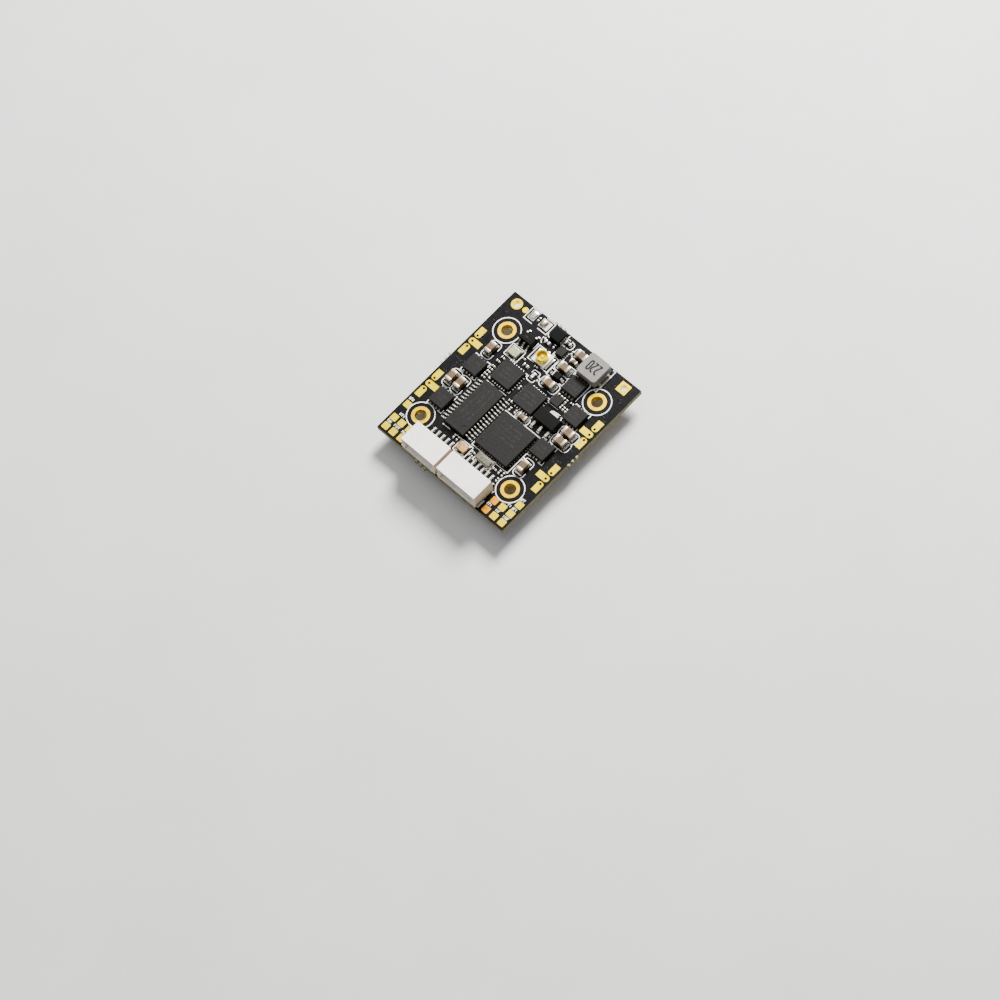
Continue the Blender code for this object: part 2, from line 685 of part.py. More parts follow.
def add_boot_button(builder):
    """A push button that faces down: well, cover plate, and the plunger held between them."""
    x, y = BUTTON_PLACE
    top = BOARD_BOTTOM - SEAT_GAP
    height = BUTTON_BASE_SIZE[2]
    base_mesh = box_mesh(BUTTON_BASE_SIZE, (x, y, top - height / 2.0))
    base = builder.piece("boot_button_base", base_mesh, "insert_black")
    bevel(base, BEVEL_SMALL)
    well = cylinder_mesh(
        BUTTON_WELL_RADIUS, 2.0 * BUTTON_WELL_DEPTH, (x, y, top - height)
    )
    boolean(base, builder.tool("boot_button_well", well), "DIFFERENCE")

    cover_top = top - height - SEAT_GAP
    corner_x = BUTTON_BASE_SIZE[0] / 2.0
    corner_y = BUTTON_BASE_SIZE[1] / 2.0
    loops = [
        [(-corner_x, -corner_y), (corner_x, -corner_y), (corner_x, corner_y), (-corner_x, corner_y)],
        circle_points((0.0, 0.0), BUTTON_RADIUS + BUTTON_CLEARANCE, CIRCLE_STEPS),
    ]
    cover = outline_mesh(loops, BUTTON_COVER_THICKNESS)
    cover.transform(Matrix.Translation((x, y, cover_top - BUTTON_COVER_THICKNESS / 2.0)))
    builder.piece("boot_button_cover", cover, "shell_steel")

    flange_bottom = cover_top + SEAT_GAP
    tip = cover_top - BUTTON_COVER_THICKNESS - BUTTON_REACH
    flange = cylinder_mesh(
        BUTTON_FLANGE_RADIUS,
        BUTTON_FLANGE_THICKNESS,
        (x, y, flange_bottom + BUTTON_FLANGE_THICKNESS / 2.0),
    )
    button = builder.piece("boot_button", flange, "button_grey")
    stem_top = flange_bottom + BUTTON_FLANGE_THICKNESS / 2.0
    stem = cylinder_mesh(BUTTON_RADIUS, stem_top - tip, (x, y, (stem_top + tip) / 2.0))
    boolean(button, builder.tool("boot_button_stem", stem), "UNION")
    recentre(button, (x, y, tip))


def main():
    clear_scene()
    builder = Builder()
    add_circuit_board(builder)
    add_mount_rings(builder)
    add_battery_pads(builder)
    add_blocks(builder)
    add_osd_chip(builder)
    add_small_regulator(builder)
    add_power_regulator(builder)
    add_inductor(builder)
    add_antenna_socket(builder)
    for name, contact_count, middle_x in SOCKETS:
        add_plug_socket(builder, name, contact_count, middle_x)
    add_usb_socket(builder)
    add_boot_button(builder)


main()
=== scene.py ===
"""The looks of a small drone's flight controller board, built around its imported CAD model.

Shapes are drawn in millimetres in the CAD's own frame and scaled to metres as they are linked.
The board's top and bottom faces, and every chip's place, are read from the CAD nodes.
"""
import math
import random

import bmesh
import bpy
from mathutils import Matrix, Vector


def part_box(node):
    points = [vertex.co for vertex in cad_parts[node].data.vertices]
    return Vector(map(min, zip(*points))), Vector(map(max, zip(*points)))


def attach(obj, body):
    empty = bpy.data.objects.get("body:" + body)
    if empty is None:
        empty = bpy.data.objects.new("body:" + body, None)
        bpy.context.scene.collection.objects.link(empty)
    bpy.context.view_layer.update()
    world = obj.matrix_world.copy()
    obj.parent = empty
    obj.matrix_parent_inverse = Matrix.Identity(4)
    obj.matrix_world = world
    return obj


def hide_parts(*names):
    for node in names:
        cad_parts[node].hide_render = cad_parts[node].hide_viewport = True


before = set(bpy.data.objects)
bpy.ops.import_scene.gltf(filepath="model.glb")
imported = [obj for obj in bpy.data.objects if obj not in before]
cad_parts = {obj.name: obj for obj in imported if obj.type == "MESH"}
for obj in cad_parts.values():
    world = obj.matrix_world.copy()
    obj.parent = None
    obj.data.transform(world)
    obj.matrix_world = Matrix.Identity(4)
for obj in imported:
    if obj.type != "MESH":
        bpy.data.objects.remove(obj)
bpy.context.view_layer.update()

MM = 0.001
BOARD_BODY = "board"
SHARP_ANGLE = math.radians(38.0)
DOME_ROUNDNESS = 0.4


# ---------------------------------------------------------------- places read from the CAD


def node_box(node):
    """Lowest and highest corner of a CAD node, in millimetres."""
    low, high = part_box(node)
    return low / MM, high / MM


def node_middle(node):
    low, high = node_box(node)
    return (low + high) / 2.0


def node_frame(node):
    """Lowest corner, highest corner, middle and size of a CAD node."""
    low, high = node_box(node)
    return low, high, (low + high) / 2.0, high - low


BOARD_LOW, BOARD_HIGH = node_box("circuit_board")
TOP = BOARD_HIGH.z
BOTTOM = BOARD_LOW.z
HALF_WIDTH = 14.0
HALF_LENGTH = 16.0
MOUNT_NODES = [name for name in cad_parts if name.startswith("mount_ring_")]

# Small parts with no CAD node of their own, which the printed outlines go round too
SMALL_CAPACITOR = (2.9, 0.2)
ROUND_DIODE = (-0.6, 14.55)
STATUS_LIGHT = (-0.97, 6.76)
VOLTAGE_MONITOR = (5.05, 5.85)


# ---------------------------------------------------------------- materials


def add_node(tree, kind, inputs=None, **settings):
    node = tree.nodes.new(kind)
    for key, value in settings.items():
        setattr(node, key, value)
    for key, value in (inputs or {}).items():
        node.inputs[key].default_value = value
    return node


def object_coordinates(tree):
    return add_node(tree, "ShaderNodeTexCoord").outputs["Object"]


def noise(tree, feature_mm, detail=3.0, roughness=0.55, stretch=None):
    """A noise whose features are about feature_mm across."""
    source = object_coordinates(tree)
    if stretch:
        mapping = add_node(tree, "ShaderNodeMapping", {"Scale": stretch})
        tree.links.new(source, mapping.inputs["Vector"])
        source = mapping.outputs["Vector"]
    inputs = {"Scale": 1.0 / (feature_mm * MM), "Detail": detail, "Roughness": roughness}
    node = add_node(tree, "ShaderNodeTexNoise", inputs)
    tree.links.new(source, node.inputs["Vector"])
    return node.outputs["Fac"]


def spread(tree, value, low, high, from_low=0.3, from_high=0.7):
    """Maps a noise value onto a range of numbers."""
    inputs = {"From Min": from_low, "From Max": from_high, "To Min": low, "To Max": high}
    node = add_node(tree, "ShaderNodeMapRange", inputs)
    tree.links.new(value, node.inputs["Value"])
    return node.outputs["Result"]


def mix_colors(tree, factor, first, second):
    """Mixes two colours, each a tuple or a socket."""
    node = add_node(tree, "ShaderNodeMix", data_type="RGBA")
    tree.links.new(factor, node.inputs["Factor"])
    for socket, value in ((node.inputs[6], first), (node.inputs[7], second)):
        if isinstance(value, tuple):
            socket.default_value = (*value, 1.0)
        else:
            tree.links.new(value, socket)
    return node.outputs[2]


def bump(tree, shader, height, depth_mm, strength=1.0):
    node = add_node(tree, "ShaderNodeBump", {"Distance": depth_mm * MM, "Strength": strength})
    tree.links.new(height, node.inputs["Height"])
    tree.links.new(node.outputs["Normal"], shader.inputs["Normal"])


def base_material(name, color, roughness, metallic=0.0, specular=0.5):
    material = bpy.data.materials.new(name)
    material.use_nodes = True
    shader = material.node_tree.nodes["Principled BSDF"]
    shader.inputs["Base Color"].default_value = (*color, 1.0)
    shader.inputs["Roughness"].default_value = roughness
    shader.inputs["Metallic"].default_value = metallic
    shader.inputs["Specular IOR Level"].default_value = specular
    material.diffuse_color = (*color, 1.0)
    return material, material.node_tree, shader


def level_face(tree):
    """One on faces that look straight up or down, zero on the sides."""
    axes = add_node(tree, "ShaderNodeSeparateXYZ")
    tree.links.new(add_node(tree, "ShaderNodeTexCoord").outputs["Normal"], axes.inputs["Vector"])
    upright = add_node(tree, "ShaderNodeMath", operation="ABSOLUTE")
    tree.links.new(axes.outputs["Z"], upright.inputs[0])
    face = add_node(tree, "ShaderNodeMath", {1: 0.7}, operation="GREATER_THAN")
    tree.links.new(upright.outputs[0], face.inputs[0])
    return face.outputs[0]


def make_speckled(name, finish):
    """A surface whose colour wanders between two near colours, with grain in gloss and relief.

    A finish with a side colour is tinted towards it on its upright faces, as painted shade on the sides.
    """
    metallic = finish.get("metallic", 0.0)
    specular = finish.get("specular", 0.35)
    material, tree, shader = base_material(name, finish["dark"], 0.5, metallic, specular)
    value = noise(tree, finish["patch_mm"], detail=4.0)
    color = mix_colors(tree, spread(tree, value, 0.0, 1.0), finish["dark"], finish["light"])
    # Painted shade: upright faces take the darker side colour.
    if "side" in finish:
        color = mix_colors(tree, level_face(tree), finish["side"], color)
    tree.links.new(color, shader.inputs["Base Color"])
    grain = noise(tree, finish.get("grain_mm", finish["patch_mm"] * 0.3), detail=3.0)
    tree.links.new(spread(tree, grain, *finish["roughness"]), shader.inputs["Roughness"])
    bump(tree, shader, grain, finish.get("depth_mm", 0.004), 0.6)
    return material


def make_solder_mask():
    """Near-black mask on the faces, bare woven glass board on the cut edges."""
    material, tree, shader = base_material("solder_mask", (0.002, 0.002, 0.003), 0.3, specular=0.12)
    blotch = spread(tree, noise(tree, 5.0, detail=2.0), 0.0, 1.0)
    mask = mix_colors(tree, blotch, (0.001, 0.001, 0.0014), (0.003, 0.0027, 0.0042))
    layers = spread(tree, noise(tree, 0.35, stretch=(0.35, 0.35, 5.0)), 0.0, 1.0)
    core = mix_colors(tree, layers, (0.085, 0.077, 0.04), (0.22, 0.2, 0.11))
    face = level_face(tree)
    tree.links.new(mix_colors(tree, face, core, mask), shader.inputs["Base Color"])
    peel = noise(tree, 0.5, detail=2.0)
    gloss = add_node(tree, "ShaderNodeMix", {2: 0.75})
    tree.links.new(face, gloss.inputs[0])
    tree.links.new(spread(tree, peel, 0.24, 0.36), gloss.inputs[3])
    tree.links.new(gloss.outputs[0], shader.inputs["Roughness"])
    bump(tree, shader, peel, 0.004, 0.5)
    return material


# Each finish wanders between its dark and light colour in patches patch_mm across
FINISHES = {
    "gold": dict(
        dark=(0.95, 0.62, 0.0), light=(1.0, 0.85, 0.0), patch_mm=0.9, grain_mm=0.12,
        roughness=(0.22, 0.36), depth_mm=0.005, metallic=1.0,
    ),
    "gold_ring": dict(
        dark=(0.9, 0.48, 0.0), light=(1.0, 0.76, 0.01), patch_mm=0.8, grain_mm=0.12,
        roughness=(0.24, 0.4), depth_mm=0.006, metallic=1.0,
    ),
    "gold_tinted": dict(
        dark=(0.72, 0.27, 0.0), light=(0.92, 0.43, 0.0), patch_mm=0.7, grain_mm=0.12,
        roughness=(0.26, 0.42), depth_mm=0.006, metallic=1.0,
    ),
    "gold_in_shade": dict(
        dark=(0.05, 0.024, 0.003), light=(0.13, 0.07, 0.01), patch_mm=0.3, grain_mm=0.08,
        roughness=(0.5, 0.7), metallic=0.4, specular=0.1,
    ),
    "silk": dict(
        dark=(0.78, 0.78, 0.76), light=(0.9, 0.9, 0.88), patch_mm=0.25, roughness=(0.5, 0.7),
    ),
    "epoxy": dict(
        dark=(0.0045, 0.0045, 0.0044), light=(0.0105, 0.0102, 0.0097), patch_mm=0.35, grain_mm=0.06,
        roughness=(0.5, 0.68), specular=0.13, depth_mm=0.006,
    ),
    "epoxy_black": dict(
        dark=(0.0012, 0.0012, 0.0012), light=(0.0034, 0.0034, 0.0034), patch_mm=0.3, grain_mm=0.08,
        roughness=(0.42, 0.6), specular=0.06, depth_mm=0.005,
    ),
    "marking": dict(
        dark=(0.014, 0.014, 0.0135), light=(0.026, 0.0255, 0.025), patch_mm=0.15, roughness=(0.6, 0.8),
        specular=0.13,
    ),
    "tin": dict(
        dark=(0.52, 0.51, 0.44), light=(0.8, 0.79, 0.7), patch_mm=0.4, grain_mm=0.1,
        roughness=(0.22, 0.42), depth_mm=0.007, metallic=1.0,
    ),
    "solder": dict(
        dark=(0.3, 0.3, 0.28), light=(0.6, 0.6, 0.56), patch_mm=0.25, grain_mm=0.12,
        roughness=(0.14, 0.32), depth_mm=0.012, metallic=1.0,
    ),
    # Tin darkened as painted shade, for pads and leads that sit in shadow.
    "tin_dull": dict(
        dark=(0.08, 0.08, 0.068), light=(0.3, 0.295, 0.25), patch_mm=0.25, grain_mm=0.08,
        roughness=(0.3, 0.5), depth_mm=0.007, metallic=1.0,
    ),
    "cap_end": dict(
        dark=(0.28, 0.22, 0.16), light=(0.62, 0.54, 0.43), patch_mm=0.35, grain_mm=0.09,
        roughness=(0.26, 0.48), depth_mm=0.008, metallic=0.9,
    ),
    "ceramic": dict(
        dark=(0.055, 0.029, 0.01), light=(0.13, 0.076, 0.029), patch_mm=0.45, grain_mm=0.07,
        roughness=(0.38, 0.55),
    ),
    "resistor": dict(
        dark=(0.006, 0.006, 0.0065), light=(0.015, 0.015, 0.016), patch_mm=0.2, roughness=(0.25, 0.4),
    ),
    "alumina": dict(
        dark=(0.42, 0.41, 0.38), light=(0.56, 0.55, 0.52), patch_mm=0.15, roughness=(0.5, 0.65),
    ),
    "lid": dict(
        dark=(0.24, 0.24, 0.15), light=(0.42, 0.41, 0.28), patch_mm=0.4, grain_mm=0.09,
        roughness=(0.28, 0.44), metallic=0.9,
    ),
    "lid_dull": dict(
        dark=(0.045, 0.045, 0.032), light=(0.2, 0.2, 0.15), patch_mm=0.3, grain_mm=0.08,
        roughness=(0.3, 0.46), metallic=0.9,
    ),
    # A copy of the lid with a painted warm reflection on it.
    "lid_warm": dict(
        dark=(0.25, 0.13, 0.05), light=(0.62, 0.4, 0.19), patch_mm=0.5, grain_mm=0.09,
        roughness=(0.28, 0.44), metallic=0.9,
    ),
    "ferrite": dict(
        dark=(0.125, 0.118, 0.11), light=(0.19, 0.18, 0.17), patch_mm=0.22, grain_mm=0.07,
        roughness=(0.5, 0.68), depth_mm=0.01,
    ),
    "ferrite_black": dict(
        dark=(0.0006, 0.0006, 0.0006), light=(0.0024, 0.0024, 0.0024), patch_mm=0.2, grain_mm=0.06,
        roughness=(0.42, 0.62), specular=0.05, depth_mm=0.012,
    ),
    "ink": dict(
        dark=(0.003, 0.003, 0.003), light=(0.008, 0.0078, 0.0075), patch_mm=0.12,
        roughness=(0.55, 0.7), specular=0.15,
    ),
    # The side colour is painted shade: the nylon's upright faces are a darker warm tan.
    "nylon": dict(
        dark=(0.86, 0.84, 0.79), light=(0.95, 0.94, 0.91), side=(0.56, 0.46, 0.34), patch_mm=1.5,
        grain_mm=0.12, roughness=(0.36, 0.5),
    ),
    "steel": dict(
        dark=(0.5, 0.5, 0.49), light=(0.64, 0.64, 0.63), patch_mm=1.2, grain_mm=0.1,
        roughness=(0.22, 0.38), metallic=1.0,
    ),
    "broken_glass": dict(
        dark=(0.3, 0.28, 0.13), light=(0.72, 0.7, 0.48), patch_mm=0.12, grain_mm=0.05,
        roughness=(0.35, 0.6), depth_mm=0.02,
    ),
    "black_plastic": dict(
        dark=(0.006, 0.006, 0.006), light=(0.013, 0.013, 0.0135), patch_mm=0.4, roughness=(0.4, 0.58),
        specular=0.25,
    ),
    "grey_plastic": dict(
        dark=(0.035, 0.035, 0.037), light=(0.06, 0.06, 0.063), patch_mm=0.4, roughness=(0.4, 0.58),
    ),
    "floor": dict(
        dark=(0.62, 0.62, 0.62), light=(0.66, 0.66, 0.66), patch_mm=30.0, grain_mm=4.0,
        roughness=(0.55, 0.65),
    ),
}

MATERIALS = {name: make_speckled(name, finish) for name, finish in FINISHES.items()}
MATERIALS["mask"] = make_solder_mask()


# ---------------------------------------------------------------- shapes


class Shape:
    """A mesh under construction, in millimetres, made of simple solids in several materials."""

    def __init__(self, *materials):
        self.mesh = bmesh.new()
        self.materials = list(materials)

    def take(self, part, material, matrix=None):
        """Moves the faces of another bmesh into this one."""
        index = self.materials.index(material)
        for face in part.faces:
            face.material_index = index
            face.smooth = True
        if matrix is not None:
            part.transform(matrix)
        carrier = bpy.data.meshes.new("carrier")
        part.to_mesh(carrier)
        part.free()
        self.mesh.from_mesh(carrier)
        bpy.data.meshes.remove(carrier)

    def box(self, material, size, middle, edge=0.0, segments=2, turn=0.0):
        part = bmesh.new()
        bmesh.ops.create_cube(part, size=1.0)
        bmesh.ops.scale(part, vec=size, verts=part.verts)
        round_edges(part, edge, segments)
        self.take(part, material, place(middle, turn))

    def drafted(self, material, size, middle, shrink, edge=0.0, turn=0.0, parting=0.5):
        """A moulded block whose sides lean in above and below a parting line."""
        part = bmesh.new()
        width, length, height = size
        rings = []
        for level, inset in ((0.0, shrink), (parting, 0.0), (1.0, shrink)):
            half_x = width / 2.0 - inset
            half_y = length / 2.0 - inset
            z = (level - 0.5) * height
            corners = ((-half_x, -half_y), (half_x, -half_y), (half_x, half_y), (-half_x, half_y))
            rings.append([part.verts.new((x, y, z)) for x, y in corners])
        for lower, upper in zip(rings, rings[1:]):
            for index in range(4):
                after = (index + 1) % 4
                part.faces.new((lower[index], lower[after], upper[after], upper[index]))
        part.faces.new(rings[0][::-1])
        part.faces.new(rings[-1])
        part.normal_update()
        round_edges(part, edge, 2, math.radians(30.0))
        self.take(part, material, place(middle, turn))

    def cylinder(self, material, radius, height, middle, edge=0.0, steps=32):
        part = bmesh.new()
        sizes = {"segments": steps, "radius1": radius, "radius2": radius, "depth": height}
        bmesh.ops.create_cone(part, cap_ends=True, **sizes)
        round_edges(part, edge, 2, math.radians(60.0))
        self.take(part, material, place(middle, 0.0))

    def prism(self, material, outline, bottom, top, edge=0.0, matrix=None, segments=1):
        """A flat outline, anticlockwise, made solid between two heights."""
        part = bmesh.new()
        low = [part.verts.new((x, y, bottom)) for x, y in outline]
        high = [part.verts.new((x, y, top)) for x, y in outline]
        part.faces.new(low[::-1])
        part.faces.new(high)
        count = len(outline)
        for index in range(count):
            after = (index + 1) % count
            part.faces.new((low[index], low[after], high[after], high[index]))
        bmesh.ops.recalc_face_normals(part, faces=part.faces)
        round_edges(part, edge, segments, math.radians(50.0))
        self.take(part, material, matrix)

    def strip(self, material, centre_line, thickness, width, matrix, edge=0.0):
        """A bent strip of sheet metal: its centre line lies in XZ, its width along Y."""
        outline = bent_strip(centre_line, thickness)
        stand = matrix @ Matrix.Rotation(math.radians(90.0), 4, "X")
        self.prism(material, outline, -width / 2.0, width / 2.0, edge, stand)

    def lathe(self, material, profile, middle, steps=40):
        """A closed (radius, z) profile turned about Z."""
        part = bmesh.new()
        rings = []
        for step in range(steps):
            angle = 2.0 * math.pi * step / steps
            across = math.cos(angle)
            along = math.sin(angle)
            rings.append([part.verts.new((radius * across, radius * along, z)) for radius, z in profile])
        count = len(profile)
        for step in range(steps):
            here = rings[step]
            there = rings[(step + 1) % steps]
            for index in range(count):
                after = (index + 1) % count
                part.faces.new((here[index], there[index], there[after], here[after]))
        bmesh.ops.remove_doubles(part, verts=part.verts, dist=0.0001)
        bmesh.ops.recalc_face_normals(part, faces=part.faces)
        self.take(part, material, place(middle, 0.0))

    def dome(self, material, size, middle, turn=0.0):
        """A pillow of solder: flat below, crowned above, on a rounded rectangle."""
        part = bmesh.new()
        width, length, height = size
        rows = 8
        columns = 8
        grid = []
        for row in range(rows + 1):
            line = []
            for column in range(columns + 1):
                u = 2.0 * column / columns - 1.0
                v = 2.0 * row / rows - 1.0
                x = u * math.sqrt(1.0 - DOME_ROUNDNESS * v * v / 2.0)
                y = v * math.sqrt(1.0 - DOME_ROUNDNESS * u * u / 2.0)
                rise = (1.0 - u ** 4) * (1.0 - v ** 4)
                line.append(part.verts.new((x * width / 2.0, y * length / 2.0, rise * height)))
            grid.append(line)
        for near, far in zip(grid, grid[1:]):
            for column in range(columns):
                part.faces.new((near[column], near[column + 1], far[column + 1], far[column]))
        rim = [edge for edge in part.edges if edge.is_boundary]
        bmesh.ops.contextual_create(part, geom=rim)
        bmesh.ops.recalc_face_normals(part, faces=part.faces)
        self.take(part, material, place(middle, turn))

    def fillet(self, material, width, length, height, foot, turn):
        """Solder that climbs a wall: the wall is at the foot's place, and it runs out along turn."""
        part = bmesh.new()
        profile = [(0.0, 0.0), (length, 0.0)]
        for step in range(1, 4):
            share = step / 4.0
            profile.append((length * (1.0 - share) ** 1.6, height * share ** 1.6))
        profile.append((0.0, height))
        sides = []
        for half in (-width / 2.0, width / 2.0):
            sides.append([part.verts.new((x, half * (1.0 - 0.25 * z / height), z)) for x, z in profile])
        part.faces.new(sides[0])
        part.faces.new(sides[1][::-1])
        count = len(profile)
        for index in range(count):
            after = (index + 1) % count
            part.faces.new((sides[0][index], sides[1][index], sides[1][after], sides[0][after]))
        bmesh.ops.recalc_face_normals(part, faces=part.faces)
        self.take(part, material, place(foot, turn))

    def ribbon(self, material, points, width, bottom, top, closed=False):
        """A flat painted line of even width along points, with square ends."""
        part = bmesh.new()
        left, right = offset_sides(points, width, closed)
        levels = []
        for side in (left, right):
            for z in (bottom, top):
                levels.append([part.verts.new((x, y, z)) for x, y in side])
        left_low, left_high, right_low, right_high = levels
        count = len(points)
        for index in range(count if closed else count - 1):
            after = (index + 1) % count
            part.faces.new((left_high[index], left_high[after], right_high[after], right_high[index]))
            part.faces.new((left_low[index], right_low[index], right_low[after], left_low[after]))
            part.faces.new((left_low[index], left_low[after], left_high[after], left_high[index]))
            part.faces.new((right_low[index], right_high[index], right_high[after], right_low[after]))
        if not closed:
            for index in (0, count - 1):
                part.faces.new((left_low[index], left_high[index], right_high[index], right_low[index]))
        bmesh.ops.recalc_face_normals(part, faces=part.faces)
        self.take(part, material)

    def link(self, name, slot=None, replaces=(), cutters=()):
        """Makes the piece under its name and rides it on the board, hiding the CAD nodes it replaces."""
        item = self.object(name)
        for cutter in cutters:
            cut(item, cutter)
        finish_surface(item)
        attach(item, BOARD_BODY)
        if replaces:
            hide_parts(*replaces)
        return item

    def object(self, name):
        mesh = bpy.data.meshes.new(name)
        self.mesh.transform(Matrix.Scale(MM, 4))
        self.mesh.to_mesh(mesh)
        self.mesh.free()
        for material in self.materials:
            mesh.materials.append(MATERIALS[material])
        item = bpy.data.objects.new(name, mesh)
        bpy.context.scene.collection.objects.link(item)
        return item


def place(middle, turn):
    return Matrix.Translation(middle) @ Matrix.Rotation(math.radians(turn), 4, "Z")


def round_edges(part, width, segments, angle=0.0):
    """Bevels the edges of a bmesh that are sharper than an angle."""
    if width <= 0.0:
        return
    edges = [
        edge
        for edge in part.edges
        if len(edge.link_faces) == 2 and edge.calc_face_angle(0.0) > max(angle, 0.02)
    ]
    bmesh.ops.bevel(
        part, geom=edges, offset=width, segments=segments, profile=0.5, affect="EDGES", clamp_overlap=True
    )


def offset_sides(points, width, closed):
    """The two sides of a line of even width, mitred at its bends."""
    count = len(points)
    left = []
    right = []
    for index, (x, y) in enumerate(points):
        neighbours = []
        if closed or index > 0:
            neighbours.append((points[index - 1], (x, y)))
        if closed or index < count - 1:
            neighbours.append(((x, y), points[(index + 1) % count]))
        normals = []
        for start, end in neighbours:
            run = Vector((end[0] - start[0], end[1] - start[1]))
            run.normalize()
            normals.append(Vector((-run.y, run.x)))
        mitre = sum(normals, Vector((0.0, 0.0)))
        mitre.normalize()
        reach = width / 2.0 / max(mitre.dot(normals[0]), 0.3)
        left.append((x + mitre.x * reach, y + mitre.y * reach))
        right.append((x - mitre.x * reach, y - mitre.y * reach))
    return left, right


def bent_strip(centre_line, thickness):
    left, right = offset_sides(centre_line, thickness, False)
    return right + left[::-1]


def cut(item, cutter_shape):
    """Takes another shape out of a piece, for good."""
    tool = cutter_shape.object("cutter")
    modifier = item.modifiers.new("Cut", "BOOLEAN")
    modifier.operation = "DIFFERENCE"
    modifier.solver = "EXACT"
    modifier.object = tool
    graph = bpy.context.evaluated_depsgraph_get()
    mesh = bpy.data.meshes.new_from_object(item.evaluated_get(graph))
    item.modifiers.clear()
    old = item.data
    item.data = mesh
    bpy.data.meshes.remove(old)
    bpy.data.objects.remove(tool, do_unlink=True)


def finish_surface(item):
    """Smooth rounded edges beside flat faces that stay flat."""
    for polygon in item.data.polygons:
        polygon.use_smooth = True
    item.data.set_sharp_from_angle(angle=SHARP_ANGLE)
    weighted = item.modifiers.new("FlatFaces", "WEIGHTED_NORMAL")
    weighted.keep_sharp = True


def arc(middle, radius, start, end, steps):
    """Points on a circle from one angle to another, in degrees."""
    points = []
    for step in range(steps + 1):
        angle = math.radians(start + (end - start) * step / steps)
        points.append((middle[0] + radius * math.cos(angle), middle[1] + radius * math.sin(angle)))
    return points


def rounded_rectangle(middle, width, length, radius, steps=4):
    points = []
    corners = ((1, -1, -90.0), (1, 1, 0.0), (-1, 1, 90.0), (-1, -1, 180.0))
    for sign_x, sign_y, start in corners:
        x = middle[0] + sign_x * (width / 2.0 - radius)
        y = middle[1] + sign_y * (length / 2.0 - radius)
        points += arc((x, y), radius, start, start + 90.0, steps)
    return points


def rectangle(left, right, near, far):
    """Corners of a rectangle, anticlockwise."""
    return [(left, near), (right, near), (right, far), (left, far)]


def centred(count, pitch):
    return [(index - (count - 1) / 2.0) * pitch for index in range(count)]


def use_material(node, material):
    """Gives a CAD node one of this script's materials."""
    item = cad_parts[node]
    item.data.materials.clear()
    item.data.materials.append(MATERIALS[material])
    for polygon in item.data.polygons:
        polygon.material_index = 0


# ---------------------------------------------------------------- the board and what is printed on it

SILK_LOW = TOP + 0.002
SILK_HIGH = TOP + 0.02
SILK_WIDTH = 0.13
MOUNT_CIRCLE_RADIUS = 2.33
TRACE_HEIGHT = 0.018
PAD_HEIGHT = 0.035
UNDER = Matrix.Translation((0.0, 0.0, TOP + BOTTOM)) @ Matrix.Scale(-1.0, 4, (0.0, 0.0, 1.0))


def dress_plain_nodes():
    use_material("circuit_board", "mask")
    for node in MOUNT_NODES:
        use_material(node, "gold_ring")
    for node in ("battery_pad_round", "battery_pad_square", "antenna_socket_shell", "antenna_socket_pin"):
        use_material(node, "gold")
    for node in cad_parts:
        if "_contact_" in node or node.startswith("inductor_terminal"):
            use_material(node, "tin")
    use_material("usb_shell", "steel")
    use_material("usb_insert", "black_plastic")
    use_material("boot_button_base", "black_plastic")
    use_material("boot_button_cover", "steel")
    use_material("boot_button", "grey_plastic")


def pads_on_face(shape, outlines, under, material="gold"):
    """Flat plated pads on the board's top, or on its bottom when under is true."""
    if under:
        low = BOTTOM - PAD_HEIGHT
        high = BOTTOM - 0.002
    else:
        low = TOP + 0.002
        high = TOP + PAD_HEIGHT
    for outline in outlines:
        shape.prism(material, outline, low, high)


MOTOR_PAD_WIDTH = 1.14
MOTOR_PAD_NEAR = 0.86
MOTOR_PAD_FAR = 2.87
MOTOR_PAD_OUTER = 13.57
MOTOR_PAD_INNER = 11.25
MOTOR_VIA_X = 13.0
MOTOR_VIA_OFFSETS = (-1.22, 0.0, 1.22)
MOTOR_VIA_RADIUS = 0.2
MOTOR_GROUPS_Y = (5.0, -5.0)


def motor_pad_outlines(side):
    """Three pads a group: two along the edge with a rounded inner end, one turned inward between."""
    half = MOTOR_PAD_WIDTH / 2.0
    middle_x = MOTOR_PAD_OUTER - half
    near = MOTOR_PAD_NEAR
    outer = MOTOR_PAD_OUTER
    outlines = []
    for group_y in MOTOR_GROUPS_Y:
        for sign in (1.0, -1.0):
            outline = [
                (middle_x - half, MOTOR_PAD_FAR),
                (middle_x - half, near + 0.38),
                (middle_x - half + 0.13, near + 0.12),
                (middle_x - 0.16, near),
                (middle_x + 0.16, near),
                (middle_x + half - 0.13, near + 0.12),
                (middle_x + half, near + 0.38),
                (middle_x + half, MOTOR_PAD_FAR),
            ]
            outlines.append([(x, group_y + sign * y) for x, y in outline])
        outline = [
            (MOTOR_PAD_INNER, -half),
            (outer - 0.4, -half),
            (outer - 0.12, -half + 0.14),
            (outer, -0.16),
            (outer, 0.16),
            (outer - 0.12, half - 0.14),
            (outer - 0.4, half),
            (MOTOR_PAD_INNER, half),
        ]
        outlines.append([(x, group_y + y) for x, y in outline])
    return [[(side * x, y) for x, y in outline] for outline in outlines]


SIGNAL_PAD = 1.2
SIGNAL_ROWS_Y = (-13.0, -14.95)
SIGNAL_PADS = [(x, y) for y in SIGNAL_ROWS_Y for x in (-12.98, -11.32, -9.55, 11.25, 12.98)]
SIGNAL_PADS += [(-13.0, -9.98), (13.05, -11.02)]
TINTED_PADS = [(9.5, y) for y in SIGNAL_ROWS_Y]
ROUND_SENSE_PAD = ((-10.25, 14.6), 0.52)
TOOTH_PITCH = 0.95
TOOTH_REACH = 0.35


